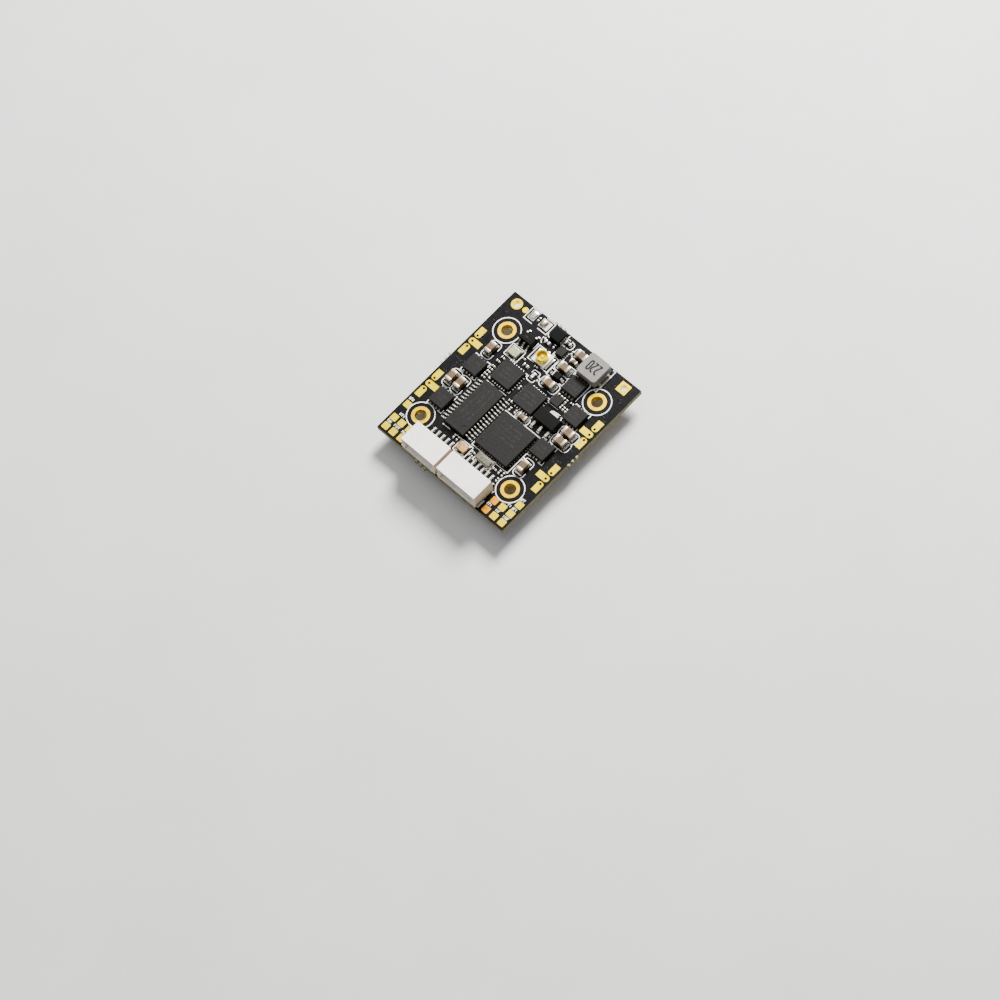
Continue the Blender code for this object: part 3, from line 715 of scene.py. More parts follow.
def add_pads():
    for under, word in ((False, "top"), (True, "under")):
        for side, name in ((-1.0, "left"), (1.0, "right")):
            shape = Shape("gold")
            outlines = motor_pad_outlines(side)
            pads_on_face(shape, outlines, under)
            item = shape.link(f"motor_pads_{name}_{word}", slot="gold_plating")
            drill_vias(item, side)
    for name, material, places in (
        ("signal_pads", "gold", SIGNAL_PADS),
        ("signal_pads_tinted", "gold_tinted", TINTED_PADS),
    ):
        shape = Shape(material)
        outlines = [rounded_rectangle(middle, SIGNAL_PAD, SIGNAL_PAD, 0.14) for middle in places]
        pads_on_face(shape, outlines, False, material)
        shape.link(name, slot="gold_plating")
    shape = Shape("gold")
    middle, radius = ROUND_SENSE_PAD
    pads_on_face(shape, [arc(middle, radius, 0.0, 345.0, 23)], False)
    shape.link("battery_sense_pad", slot="gold_plating")


def drill_vias(item, side):
    """Opens the pads over the board's own small vias and lines each one."""
    drills = Shape("gold")
    liners = Shape("gold_in_shade")
    outer = MOTOR_VIA_RADIUS - 0.012
    inner = MOTOR_VIA_RADIUS - 0.04
    # The liners carry painted shade: the via walls, and a thin dark rim on the pad round each hole, are
    # coloured as they look in shadow.
    flange = MOTOR_VIA_RADIUS + 0.035
    profile = [
        (inner, -0.545),
        (flange, -0.545),
        (flange, -0.515),
        (outer, -0.515),
        (outer, 0.515),
        (flange, 0.515),
        (flange, 0.545),
        (inner, 0.545),
    ]
    for group_y in MOTOR_GROUPS_Y:
        for offset in MOTOR_VIA_OFFSETS:
            middle = (side * MOTOR_VIA_X, group_y + offset, (TOP + BOTTOM) / 2.0)
            drills.cylinder("gold", MOTOR_VIA_RADIUS - 0.01, 3.0, middle, steps=20)
            liners.lathe("gold_in_shade", profile, middle, steps=16)
    cut(item, drills)
    finish_surface(item)
    name = item.name.replace("motor_pads", "motor_vias")
    if name.endswith("_top"):
        liners.link(name, slot="gold_plating")
    else:
        liners.mesh.free()


def add_broken_tips():
    """The pale torn glass at the end of each breakaway tooth."""
    chance = random.Random(17)
    tips = Shape("broken_glass")
    edges = (
        (0.0, HALF_WIDTH, 0.0),
        (90.0, HALF_LENGTH, 3.9),
        (180.0, HALF_WIDTH, 0.0),
        (270.0, HALF_LENGTH, -4.0),
    )
    for turn, half, along in edges:
        spin = Matrix.Rotation(math.radians(turn), 4, "Z")
        for step in (-1, 0, 1):
            spot = along + step * TOOTH_PITCH
            for splinter in range(5):
                side = (splinter - 2) * 0.07
                reach = half + TOOTH_REACH - chance.uniform(0.02, 0.12)
                depth = chance.uniform(0.25, 0.6)
                lean = chance.uniform(-0.06, 0.06)
                outline = [
                    (reach - 0.3, spot + side - 0.04),
                    (reach + 0.02, spot + side - 0.03 + lean),
                    (reach, spot + side + 0.03 + lean),
                    (reach - 0.28, spot + side + 0.04),
                ]
                tips.prism("broken_glass", outline, TOP - depth, TOP + 0.012, 0.0, spin)
    tips.link("tooth_tips", slot="solder_mask")


# ---------------------------------------------------------------- silkscreen


def silk_line(shape, points, closed=False, width=SILK_WIDTH):
    shape.ribbon("silk", points, width, SILK_LOW, SILK_HIGH, closed)


def silk_corners(shape, middle, width, length, run_x, run_y, corners=(0, 1, 2, 3)):
    """Corner brackets of an outline that is open along its sides."""
    half_x = width / 2.0
    half_y = length / 2.0
    signs = ((-1, -1), (1, -1), (1, 1), (-1, 1))
    for index in corners:
        sign_x, sign_y = signs[index]
        x = middle[0] + sign_x * half_x
        y = middle[1] + sign_y * half_y
        silk_line(shape, [(x - sign_x * run_x, y), (x, y), (x, y - sign_y * run_y)])


def silk_capacitor(shape, middle, along_y, width=1.95, length=3.55, gap=0.95, radius=0.62):
    """Two rounded brackets round the ends of a two-ended part."""
    for sign in (1.0, -1.0):
        half = width / 2.0
        end = length / 2.0
        points = [(-half, gap / 2.0)]
        points += arc((-half + radius, end - radius), radius, 180.0, 90.0, 5)
        points += arc((half - radius, end - radius), radius, 90.0, 0.0, 5)
        points += [(half, gap / 2.0)]
        turned = []
        for x, y in points:
            if along_y:
                turned.append((middle[0] + x, middle[1] + sign * y))
            else:
                turned.append((middle[0] + sign * y, middle[1] + x))
        silk_line(shape, turned)


def silk_mount_rings(shape):
    for node in MOUNT_NODES:
        points = arc(node_middle(node).xy, MOUNT_CIRCLE_RADIUS, 0.0, 354.0, 59)
        silk_line(shape, points, closed=True, width=0.16)


def add_silkscreen():
    rings = Shape("silk")
    silk_mount_rings(rings)
    rings.link("silk_mount_rings")

    outlines = Shape("silk")
    mcu = node_middle("mcu_chip")
    square = rounded_rectangle((mcu.x + 0.12, mcu.y - 0.04), 7.84, 7.8, 0.02, 1)
    silk_line(outlines, square, closed=True)
    for node in ("mosfet_1", "mosfet_2", "mosfet_3", "mosfet_4"):
        silk_corners(outlines, node_middle(node), 3.2, 3.8, 0.8, 0.75)
    switch = node_middle("power_switch_chip")
    right = switch.x + 1.68
    silk_line(outlines, [(right - 0.3, 11.6), (right, 11.3), (right, 7.8)])
    for node in ("motor_driver_chip_1", "motor_driver_chip_2"):
        silk_corners(outlines, node_middle(node), 4.45, 4.35, 0.4, 0.4)
    osd = node_middle("osd_chip")
    for sign in (-1.0, 1.0):
        y = osd.y + sign * 5.05
        silk_line(outlines, [(osd.x - 2.3, y), (osd.x - 0.65, y)])
        silk_line(outlines, [(osd.x + 0.5, y), (osd.x + 2.05, y)])
    for node, width, length in (("crystal_1", 2.75, 2.35), ("crystal_2", 2.5, 2.2)):
        middle = node_middle(node)
        silk_line(outlines, rounded_rectangle(middle.xy, width, length, 0.08, 1), closed=True)
    silk_corners(outlines, node_middle("resonator"), 3.4, 1.9, 0.5, 0.85)
    silk_corners(outlines, node_middle("power_diode"), 3.45, 1.4, 0.65, 0.6)
    black = node_middle("small_inductor")
    silk_line(outlines, [(black.x + 1.2, 15.85), (black.x + 1.2, 13.55)])
    silk_line(outlines, arc((black.x - 1.2, 14.2), 0.72, 190.0, 265.0, 5))
    silk_line(outlines, [(black.x + 0.2, 13.42), (black.x + 0.7, 13.42)])
    inductor = node_middle("inductor_core")
    silk_corners(outlines, inductor, 4.95, 4.6, 0.55, 1.5)
    buck = node_middle("buck_chip")
    silk_corners(outlines, buck, 2.05, 1.95, 0.6, 0.5, corners=(0, 1))
    silk_line(outlines, [(4.05, 4.98), (6.15, 4.98)])
    silk_line(outlines, [(7.5, 4.35), (7.9, 3.9), (8.55, 3.85)])
    silk_line(outlines, [(-4.42, 10.3), (-4.42, 11.6)])
    antenna = node_middle("antenna_socket_base")
    for sign, gap in ((1.0, 0.62), (-1.0, 0.75)):
        for side in (-1.0, 1.0):
            edge_x = antenna.x + side * 2.12
            edge_y = antenna.y + 0.05 + sign * 1.45
            silk_line(
                outlines,
                [(antenna.x + side * gap, edge_y), (edge_x, edge_y), (edge_x, antenna.y + 0.05)],
            )
    for x, run in ((-9.62, 1.85), (-4.62, -1.9)):
        silk_line(outlines, [(x + run, 15.85), (x, 15.85), (x, 13.46), (x + run, 13.46)])
    silk_capacitor(outlines, STATUS_LIGHT, True, 1.38, 2.05, 0.7, 0.25)
    outlines.link("silk_outlines")

    brackets = Shape("silk")
    for index in range(1, 10):
        _, _, middle, size = node_frame(f"capacitor_{index}")
        silk_capacitor(brackets, middle.xy, size.y > size.x)
    silk_capacitor(brackets, SMALL_CAPACITOR, False, 1.3, 2.7, 0.8, 0.45)
    silk_capacitor(brackets, ROUND_DIODE, False, 1.4, 2.1, 0.3, 0.6)
    silk_line(brackets, arc((-3.95, 12.55), 0.62, 110.0, 250.0, 8))
    brackets.link("silk_capacitor_brackets")


def add_label_marks():
    """Short plain strokes where a board has its printed pad names; they spell nothing."""
    marks = Shape("silk")
    rows = (
        (-13.15, -8.85, 0.9),
        (-12.3, -11.95, 1.3),
        (-13.1, -13.98, 1.0),
        (-11.45, -13.98, 1.1),
        (-10.0, -13.98, 0.5),
        (12.9, -10.05, 1.0),
        (11.9, -12.05, 0.75),
        (12.95, -12.05, 1.0),
        (9.3, -13.98, 0.8),
        (11.1, -13.98, 0.8),
        (12.9, -13.98, 1.3),
        (8.15, -12.2, 0.6),
    )
    chance = random.Random(7)
    for x, y, width in rows:
        strokes = max(2, round(width / 0.3))
        for offset in centred(strokes, 0.3):
            kind = chance.randrange(3)
            height = 0.4
            left = x + offset - 0.09
            right = x + offset + 0.09
            low = y - height / 2.0
            high = y + height / 2.0
            if kind == 0:
                silk_line(marks, [(left, low), (left, high), (right, high)], width=0.1)
            elif kind == 1:
                silk_line(marks, [(left, high), (left, low), (right, low), (right, high)], width=0.1)
            else:
                silk_line(marks, [(x + offset, low), (x + offset, high)], width=0.11)
    marks.link("silk_label_strokes")


# ---------------------------------------------------------------- chips


def pads_round_chip(shape, material, middle, half, count, pitch, width, outer, height):
    """The wettable side pads of a flat no-lead chip, each with a small solder foot."""
    inner = 0.15
    for turn in (0.0, 90.0, 180.0, 270.0):
        spin = Matrix.Rotation(math.radians(turn), 4, "Z")
        for offset in centred(count, pitch):
            spot = spin @ Vector((half, offset, 0.0))
            base = (middle[0] + spot.x, middle[1] + spot.y, TOP)
            outline = rectangle(-inner, outer, -width / 2.0, width / 2.0)
            shape.prism(material, outline, 0.004, 0.035, matrix=place(base, turn))
            foot = (base[0], base[1], TOP + 0.034)
            shape.fillet(material, width * 0.9, outer * 0.85, height, foot, turn)


def pads_on_two_sides(shape, middle, half, count, pitch, outline, top, fillet):
    """Pads along a chip's left and right sides, each with solder that climbs the chip."""
    width, length, height, lift = fillet
    for turn in (0.0, 180.0):
        spin = Matrix.Rotation(math.radians(turn), 4, "Z")
        for offset in centred(count, pitch):
            spot = spin @ Vector((half, offset, 0.0))
            x = middle[0] + spot.x
            y = middle[1] + spot.y
            shape.prism("tin", outline, 0.004, top, matrix=place((x, y, TOP), turn))
            shape.fillet("solder", width, length, height, (x, y, TOP + lift), turn)


def chip_body(node, material, shrink, dimple=None, edge=0.04):
    """A moulded chip body in the CAD node's place, with a round dimple by its first pad."""
    _, high, middle, size = node_frame(node)
    body = Shape(material)
    body.drafted(material, size, middle, shrink, edge)
    cutters = []
    if dimple:
        x, y, radius = dimple
        tool = Shape(material)
        tool.cylinder(material, radius, 0.08, (middle.x + x, middle.y + y, high.z), steps=32)
        cutters.append(tool)
    return body.link(node + "_body", slot="chip_plastic", replaces=[node], cutters=cutters)


def faint_marks(name, middle, top, rows, width, pitch, seed, turn=0.0):
    """Rows of faint laser strokes on a chip; they spell nothing."""
    chance = random.Random(seed)
    marks = Shape("marking")
    matrix = place((middle[0], middle[1], top), turn)
    for row in range(rows):
        y = ((rows - 1) / 2.0 - row) * pitch
        x = -width / 2.0
        while x < width / 2.0:
            run = chance.choice((0.12, 0.2, 0.28))
            far = y - 0.09 if chance.random() < 0.5 else y + 0.17
            outline = rectangle(x, x + run, y - 0.17, far)
            marks.prism("marking", outline, 0.001, 0.004, matrix=matrix)
            x += run + 0.14
    marks.link(name)


def add_square_chips():
    mcu = node_middle("mcu_chip")
    chip_body("mcu_chip", "epoxy", 0.02, (-2.75, -2.75, 0.32))
    # The chip's side pads are tin darkened as painted shade.
    pads = Shape("tin_dull")
    pads_round_chip(pads, "tin_dull", mcu.xy, 3.5, 12, 0.5, 0.22, 0.17, 0.1)
    pads.link("mcu_chip_pads", slot="tinned_metal")
    faint_marks("mcu_chip_marks", (mcu.x - 0.3, mcu.y + 0.9), node_box("mcu_chip")[1].z, 4, 4.2, 0.8, 11)
    for index, node in enumerate(("motor_driver_chip_1", "motor_driver_chip_2")):
        middle = node_middle(node)
        chip_body(node, "epoxy", 0.015, (-1.5, 1.5, 0.2))
        pads = Shape("solder")
        pads_round_chip(pads, "solder", middle.xy, 2.05, 6, 0.5, 0.18, 0.34, 0.12)
        pads.link(node + "_pads", slot="tinned_metal")
        faint_marks(node + "_marks", middle.xy, node_box(node)[1].z, 3, 2.4, 0.75, 21 + index)


def add_power_chip(node, pitch, seed):
    """A power transistor: drafted body with four nearly flush leads on two sides."""
    _, high, middle, size = node_frame(node)
    chip_body(node, "epoxy", 0.05, (-1.05, -1.05, 0.16))
    # The leads are tin darkened as painted shade.
    leads = Shape("tin_dull")
    half = size.y / 2.0
    for turn in (0.0, 180.0):
        matrix = place((middle.x, middle.y, TOP), turn)
        for offset in centred(4, pitch):
            outline = rectangle(offset - 0.15, offset + 0.15, -half - 0.12, -half + 0.2)
            leads.prism("tin_dull", outline, 0.05, 0.2, 0.02, matrix)
            foot = matrix @ Vector((offset, -half - 0.1, 0.01))
            leads.fillet("tin_dull", 0.28, 0.16, 0.14, foot, turn - 90.0)
            pad = rectangle(offset - 0.16, offset + 0.16, -half - 0.32, -half)
            leads.prism("tin_dull", pad, 0.003, 0.03, matrix=matrix)
    leads.link(node + "_leads", slot="tinned_metal")
    faint_marks(node + "_marks", middle.xy, high.z, 2, 1.7, 0.75, seed)


def add_power_chips():
    for index in range(1, 5):
        add_power_chip(f"mosfet_{index}", 0.65, 30 + index)
    add_power_chip("power_switch_chip", 0.68, 36)


def gull_leg(shape, origin, turn, body_half, shoulder, reach, width, thickness, metal="tin"):
    """One bent leg with its solder pad and fillets."""
    matrix = place(origin, turn)
    foot = thickness / 2.0 + 0.035
    line = [
        (body_half - 0.1, shoulder),
        (body_half + 0.2, shoulder),
        (body_half + 0.3, shoulder - 0.06),
        (body_half + 0.42, foot + 0.08),
        (body_half + 0.52, foot),
        (reach, foot),
    ]
    shape.strip(metal, line, thickness, width, matrix, 0.02)
    tip = matrix @ Vector((reach, 0.0, 0.03))
    shape.fillet("solder", width, 0.18, thickness * 0.9, tip, turn)
    pad_start = body_half + 0.45
    pad_end = reach + 0.24
    outline = rectangle(pad_start, pad_end, -width * 0.52, width * 0.52)
    shape.prism("tin", outline, 0.003, 0.035, matrix=matrix)


def add_osd_chip():
    node = "osd_chip"
    _, high, middle, _ = node_frame(node)
    body = Shape("epoxy")
    body.drafted("epoxy", (4.4, 9.7, 0.95), (middle.x, middle.y, high.z - 0.475), 0.1, 0.05)
    tool = Shape("epoxy")
    tool.cylinder("epoxy", 0.5, 0.1, (middle.x + 1.35, middle.y - 3.7, high.z), steps=40)
    body.link("osd_chip_body", slot="chip_plastic", replaces=[node], cutters=[tool])
    legs = Shape("tin", "solder")
    for turn in (0.0, 180.0):
        for offset in centred(14, 0.65):
            gull_leg(legs, (middle.x, middle.y + offset, TOP), turn, 2.2, 0.57, 3.22, 0.21, 0.14)
    legs.link("osd_chip_legs", slot="tinned_metal")
    faint_marks("osd_chip_marks", (middle.x - 0.1, middle.y + 0.6), high.z, 3, 6.0, 0.95, 5, 90.0)


def add_small_regulator():
    node = "small_regulator"
    _, high, middle, _ = node_frame(node)
    body = Shape("epoxy_black")
    body.drafted("epoxy_black", (2.9, 1.6, 1.0), (middle.x, middle.y, high.z - 0.5), 0.1, 0.04)
    body.link("small_regulator_body", slot="chip_plastic", replaces=[node])
    # The legs are tin darkened as painted shade.
    legs = Shape("tin", "solder", "tin_dull")
    for turn, offsets in ((-90.0, (-0.95, 0.0, 0.95)), (90.0, (-0.95, 0.95))):
        for offset in offsets:
            origin = (middle.x + offset, middle.y, TOP)
            gull_leg(legs, origin, turn, 0.8, 0.5, 1.4, 0.34, 0.15, "tin_dull")
    legs.link("small_regulator_legs", slot="tinned_metal")
    faint_marks("small_regulator_marks", middle.xy, high.z, 1, 1.6, 0.7, 41)


POWER_REGULATOR_Y = 2.35


def add_power_regulator():
    """Flat-tab regulator: its tab points to the back and its three legs to the front."""
    node = "power_regulator"
    _, high, middle, _ = node_frame(node)
    x = middle.x
    y = POWER_REGULATOR_Y
    body = Shape("epoxy_black")
    body.drafted("epoxy_black", (4.5, 2.5, 1.45), (x, y, high.z - 0.725), 0.14, 0.06, parting=0.3)
    body.link("power_regulator_body", slot="chip_plastic", replaces=[node])
    metal = Shape("tin", "solder")
    origin = place((x, y, TOP), 0.0)
    tab = [(-0.85, 1.0), (0.85, 1.0), (0.85, 1.72), (0.5, 1.98), (-0.5, 1.98), (-0.85, 1.72)]
    metal.prism("tin", tab, 0.04, 0.4, 0.03, origin)
    metal.fillet("solder", 1.3, 0.18, 0.25, (x, y + 1.96, TOP + 0.01), 90.0)
    for offset in centred(3, 1.5):
        leg = rectangle(offset - 0.22, offset + 0.22, -2.2, -1.0)
        metal.prism("tin", leg, 0.04, 0.4, 0.03, origin)
        metal.fillet("solder", 0.4, 0.16, 0.26, (x + offset, y - 2.18, TOP + 0.01), -90.0)
        metal.box("tin", (0.5, 0.75, 0.03), (x + offset, y - 2.05, TOP + 0.02))
    metal.link("power_regulator_metal", slot="tinned_metal")


def add_buck_chip():
    node = "buck_chip"
    middle = node_middle(node)
    chip_body(node, "epoxy", 0.01, (-0.5, 0.45, 0.12))
    pads = Shape("tin", "solder")
    outline = rectangle(-0.1, 0.32, -0.11, 0.11)
    pads_on_two_sides(pads, middle, 0.72, 4, 0.4, outline, 0.035, (0.2, 0.25, 0.14, 0.03))
    pads.link("buck_chip_pads", slot="tinned_metal")


# ---------------------------------------------------------------- two-ended parts


def two_ended(shape, middle, size, along_y, body, cap_length, edge=0.04, run_out=0.1, caps="tin"):
    """A chip part: a body between two metal end caps, with solder running onto its pads."""
    length, width, height = size
    turn = 90.0 if along_y else 0.0
    matrix = place((middle[0], middle[1], TOP + 0.04), turn)
    centre = matrix @ Vector((0.0, 0.0, height / 2.0))
    shape.box(body, (length - cap_length * 1.4, width - 0.04, height - 0.04), centre, edge, 2, turn)
    for sign in (-1.0, 1.0):
        cap = matrix @ Vector((sign * (length - cap_length) / 2.0, 0.0, height / 2.0))
        shape.box(caps, (cap_length, width, height), cap, edge, 2, turn)
        wall = matrix @ Vector((sign * (length / 2.0 - 0.01), 0.0, -0.03))
        spin = turn if sign > 0.0 else turn + 180.0
        shape.fillet("solder", width * 0.92, run_out, height * 0.55, wall, spin)
        pad = matrix @ Vector((sign * (length / 2.0 - 0.05), 0.0, -0.022))
        shape.box("tin", (2.0 * run_out + 0.14, width * 1.02, 0.03), pad, 0.0, 1, turn)


def add_capacitors():
    for index in range(1, 10):
        node = f"capacitor_{index}"
        _, high, middle, span = node_frame(node)
        size = (max(span.x, span.y), min(span.x, span.y), high.z - TOP - 0.04)
        shape = Shape("ceramic", "cap_end", "tin", "solder")
        two_ended(shape, middle.xy, size, span.y > span.x, "ceramic", 0.54, 0.07, 0.26, "cap_end")
        shape.link(f"capacitor_{index}_part", slot="ceramic_tan", replaces=[node])
    shape = Shape("ceramic", "cap_end", "tin", "solder")
    two_ended(shape, SMALL_CAPACITOR, (1.6, 0.82, 0.8), False, "ceramic", 0.36, 0.05, 0.2, "cap_end")
    shape.link("capacitor_small", slot="ceramic_tan")


def add_diodes():
    node = "power_diode"
    _, high, middle, size = node_frame(node)
    shape = Shape("epoxy_black", "tin", "solder", "silk")
    shape.drafted("epoxy_black", size, middle, 0.07, 0.04)
    for turn in (0.0, 180.0):
        matrix = place((middle.x, middle.y, TOP), turn)
        line = [(0.75, 0.36), (0.95, 0.34), (1.02, 0.12), (1.2, 0.1)]
        shape.strip("tin", line, 0.13, 0.42, matrix, 0.02)
        tip = matrix @ Vector((1.18, 0.0, 0.03))
        shape.fillet("solder", 0.4, 0.14, 0.1, tip, turn)
        pad = matrix @ Vector((1.15, 0.0, 0.02))
        shape.box("tin", (0.4, 0.46, 0.03), pad, 0.0, 1, turn)
    shape.box("silk", (0.14, 1.0, 0.006), (middle.x - 0.55, middle.y, high.z + 0.001))
    shape.link("power_diode_part", slot="chip_plastic", replaces=[node])

    for name, body, middle, size, along_y, cap_length, edge in (
        ("end_cap_diode", "resistor", ROUND_DIODE, (1.05, 0.52, 0.45), False, 0.26, 0.05),
        ("status_light", "alumina", STATUS_LIGHT, (0.95, 0.52, 0.4), True, 0.24, 0.04),
    ):
        shape = Shape(body, "tin", "solder")
        two_ended(shape, middle, size, along_y, body, cap_length, edge)
        shape.link(name, slot="tinned_metal")


# Rows of tiny parts: first middle, step, whether they lie along Y, and a letter for each part
TINY_ROWS = (
    ((4.45, 6.85), (0.6, 0.0), True, "crcr"),
    ((6.25, 5.65), (0.55, 0.0), True, "crr"),
    ((-7.1, 3.85), (0.0, -0.6), False, "crrcr"),
    ((1.15, -9.25), (0.0, -0.65), False, "cr"),
    ((6.7, -8.95), (0.7, 0.0), True, "cr"),
    ((7.3, -10.15), (0.1, -1.2), True, "rc"),
    ((-3.15, -9.15), (0.7, 0.05), True, "cr"),
    ((-7.0, 5.95), (-0.15, -0.95), False, "rc"),
)
TINY_SINGLES = (
    ((-1.2, 3.85), True, "r"),
    ((0.25, 0.1), True, "r"),
    ((1.3, 0.3), True, "c"),
    ((-7.3, 14.8), True, "r"),
    ((-5.4, 6.4), False, "c"),
    ((7.25, 7.15), False, "r"),
    ((4.15, 5.95), True, "c"),
    ((5.75, -9.15), False, "r"),
    ((7.95, -5.0), True, "c"),
    ((-0.7, 1.15), False, "r"),
    ((-2.0, 12.8), True, "c"),
    ((-4.3, 12.75), False, "r"),
    ((8.45, 0.9), True, "r"),
    ((-1.75, 8.2), False, "c"),
    ((0.1, 6.75), True, "r"),
    ((1.0, 13.75), True, "r"),
    ((-4.35, 8.0), False, "r"),
)


def tiny_parts():
    """Every tiny resistor (r) and capacitor (c): its middle, whether it lies along Y, and its letter."""
    parts = list(TINY_SINGLES)
    for start, step, along_y, letters in TINY_ROWS:
        for index, letter in enumerate(letters):
            parts.append(((start[0] + step[0] * index, start[1] + step[1] * index), along_y, letter))
    return parts


def add_tiny_parts():
    kinds = {
        "c": ("ceramic", "capacitor", 0.3, "ceramic_tan"),
        "r": ("resistor", "resistor", 0.22, "chip_plastic"),
    }
    for index, (middle, along_y, letter) in enumerate(tiny_parts(), start=1):
        kind, word, height, slot = kinds[letter]
        shape = Shape(kind, "tin", "solder")
        two_ended(shape, middle, (0.62, 0.3, height), along_y, kind, 0.17, 0.02, 0.06)
        shape.link(f"tiny_{word}_{index:02d}", slot=slot)
    for name, letter, middle, size, cap_length, edge in (
        ("input_resistor", "r", (-3.35, 12.55), (1.0, 0.55, 0.4), 0.36, 0.04),
        ("gate_resistor", "r", (-3.15, 7.3), (0.9, 0.5, 0.35), 0.24, 0.03),
        ("boost_capacitor", "c", (2.35, 12.7), (1.3, 0.55, 0.5), 0.34, 0.04),
    ):
        kind, word, height, slot = kinds[letter]
        shape = Shape(kind, "tin", "solder")
        two_ended(shape, middle, size, False, kind, cap_length, edge)
        shape.link(name, slot=slot)
    small = Shape("epoxy")
    middle = Vector((*VOLTAGE_MONITOR, TOP + 0.34))
    small.drafted("epoxy", (1.9, 1.6, 0.6), middle, 0.01, 0.03)
    small.link("voltage_monitor_chip", slot="chip_plastic")
    pads = Shape("tin", "solder")
    outline = rectangle(-0.1, 0.25, -0.12, 0.12)
    pads_on_two_sides(pads, middle, 0.95, 3, 0.5, outline, 0.035, (0.22, 0.2, 0.13, 0.03))
    pads.link("voltage_monitor_pads", slot="tinned_metal")


def add_solder_lands():
    """Two tinned lands inside a printed box, left for a soldered-on part, and one bare strip."""
    shape = Shape("tin", "solder", "cap_end")
    shape.box("tin", (1.3, 1.75, 0.03), (-8.57, 14.78, TOP + 0.02), 0.0)
    shape.dome("solder", (1.25, 1.7, 0.12), (-8.57, 14.78, TOP + 0.03))
    shape.box("tin", (1.3, 1.6, 0.03), (-6.2, 14.75, TOP + 0.02), 0.0)
    # The tall solder dome takes the pinkish cap_end colour as a painted reflection.
    shape.dome("cap_end", (1.25, 1.5, 0.42), (-6.2, 14.75, TOP + 0.03))
    shape.box("tin", (0.5, 1.6, 0.03), (-5.22, 14.75, TOP + 0.02), 0.0)
    shape.link("tinned_lands", slot="tinned_metal")


# ---------------------------------------------------------------- crystals, inductors, antenna socket


def add_crystals():
    for node in ("crystal_1", "crystal_2"):
        low, _, middle, size = node_frame(node)
        half = size.z * 0.5
        # The second crystal's lid carries a painted warm reflection.
        metal = "lid" if node == "crystal_1" else "lid_warm"
        shape = Shape("black_plastic", metal, "tin", "solder")
        base = (middle.x, middle.y, low.z + half / 2.0)
        shape.box("black_plastic", (size.x, size.y, half), base, 0.03)
        lid = (middle.x, middle.y, low.z + half + half / 2.0)
        shape.box(metal, (size.x - 0.22, size.y - 0.22, half), lid, 0.06, 3)
        rim = (middle.x, middle.y, low.z + half + 0.02)
        shape.box(metal, (size.x - 0.08, size.y - 0.08, 0.05), rim, 0.01)
        for sign_x in (-1.0, 1.0):
            for sign_y in (-1.0, 1.0):
                x = middle.x + sign_x * (size.x / 2.0 - 0.28)
                y = middle.y + sign_y * size.y / 2.0
                shape.box("tin", (0.5, 0.3, 0.03), (x, y, TOP + 0.02))
                shape.fillet("solder", 0.4, 0.12, 0.14, (x, y, TOP + 0.03), 90.0 * sign_y)
        shape.link(node + "_part", slot="crystal_lid", replaces=[node])


def add_resonator():
    node = "resonator"
    low, high, middle, size = node_frame(node)
    shape = Shape("lid_dull", "alumina", "tin", "solder")
    shape.box("alumina", (size.x, size.y, 0.3), (middle.x, middle.y, low.z + 0.15), 0.03)
    lid_middle = (middle.x, middle.y, (low.z + 0.3 + high.z) / 2.0)
    shape.box("lid_dull", (size.x - 0.12, size.y - 0.12, size.z - 0.3), lid_middle, 0.08, 3)
    for offset in centred(3, 1.2):
        for sign in (-1.0, 1.0):
            y = middle.y + sign * (size.y / 2.0)
            shape.box("tin", (0.32, 0.26, 0.03), (middle.x + offset, y + sign * 0.04, TOP + 0.02))
            shape.fillet("solder", 0.28, 0.13, 0.18, (middle.x + offset, y, TOP + 0.03), 90.0 * sign)
            shape.box("tin", (0.34, 0.03, 0.3), (middle.x + offset, y, low.z + 0.16))
    shape.link("resonator_part", slot="crystal_lid", replaces=[node])


DIGIT_STROKES = {
    "2": [(0.0, 1.0), (0.28, 1.0), (0.5, 0.82), (0.5, 0.62), (0.0, 0.0), (0.52, 0.0)],
    "0": [(0.12, 0.0), (0.0, 0.14), (0.0, 0.86), (0.12, 1.0)]
    + [(0.38, 1.0), (0.5, 0.86), (0.5, 0.14), (0.38, 0.0)],
}


def add_inductors():
    node = "inductor_core"
    low, high, middle, size = node_frame(node)
    core = Shape("ferrite")
    outline = rounded_rectangle(middle.xy, size.x, size.y, 0.5, 2)
    core.prism("ferrite", outline, low.z, high.z, 0.16, segments=2)
    groove = Shape("ferrite")
    for sign in (-1.0, 1.0):
        side = (middle.x + sign * (size.x / 2.0), middle.y, low.z + 0.45)
        groove.box("ferrite", (0.34, 2.5, 1.2), side)
    core.link("inductor_core_part", slot="inductor_grey", replaces=[node], cutters=[groove])
    ink = Shape("ink")
    height = 1.7
    pitch = 0.82
    turned = place((middle.x + 0.12, middle.y, high.z), 180.0)
    for index, digit in enumerate("220"):
        points = []
        for x, y in DIGIT_STROKES[digit]:
            spot = turned @ Vector(((index - 1) * pitch + x - 0.26, (y - 0.5) * height, 0.0))
            points.append((spot.x, spot.y))
        ink.ribbon("ink", points, 0.28, high.z + 0.001, high.z + 0.006, closed=digit == "0")
    ink.link("inductor_value_ink")
    solder = Shape("tin", "solder")
    for sign, turn in ((1.0, 0.0), (-1.0, 180.0)):
        x = middle.x + sign * (size.x / 2.0 + 0.16)
        solder.box("tin", (1.0, 2.6, 0.03), (x - sign * 0.15, middle.y, TOP))
        solder.fillet("solder", 2.1, 0.28, 0.6, (x, middle.y, TOP + 0.01), turn)
    solder.link("inductor_solder", slot="tinned_metal")

    node = "small_inductor"
    low, high, middle, size = node_frame(node)
    small = Shape("ferrite_black", "tin", "solder")
    small.box("ferrite_black", size, middle, 0.14, 3)
    for sign, turn in ((1.0, 0.0), (-1.0, 180.0)):
        x = middle.x + sign * size.x / 2.0
        small.box("tin", (0.05, 1.3, 0.7), (x, middle.y, low.z + 0.35))
        small.fillet("solder", 1.2, 0.2, 0.5, (x, middle.y, TOP + 0.02), turn)
    small.link("small_inductor_part", slot="inductor_black", replaces=[node])


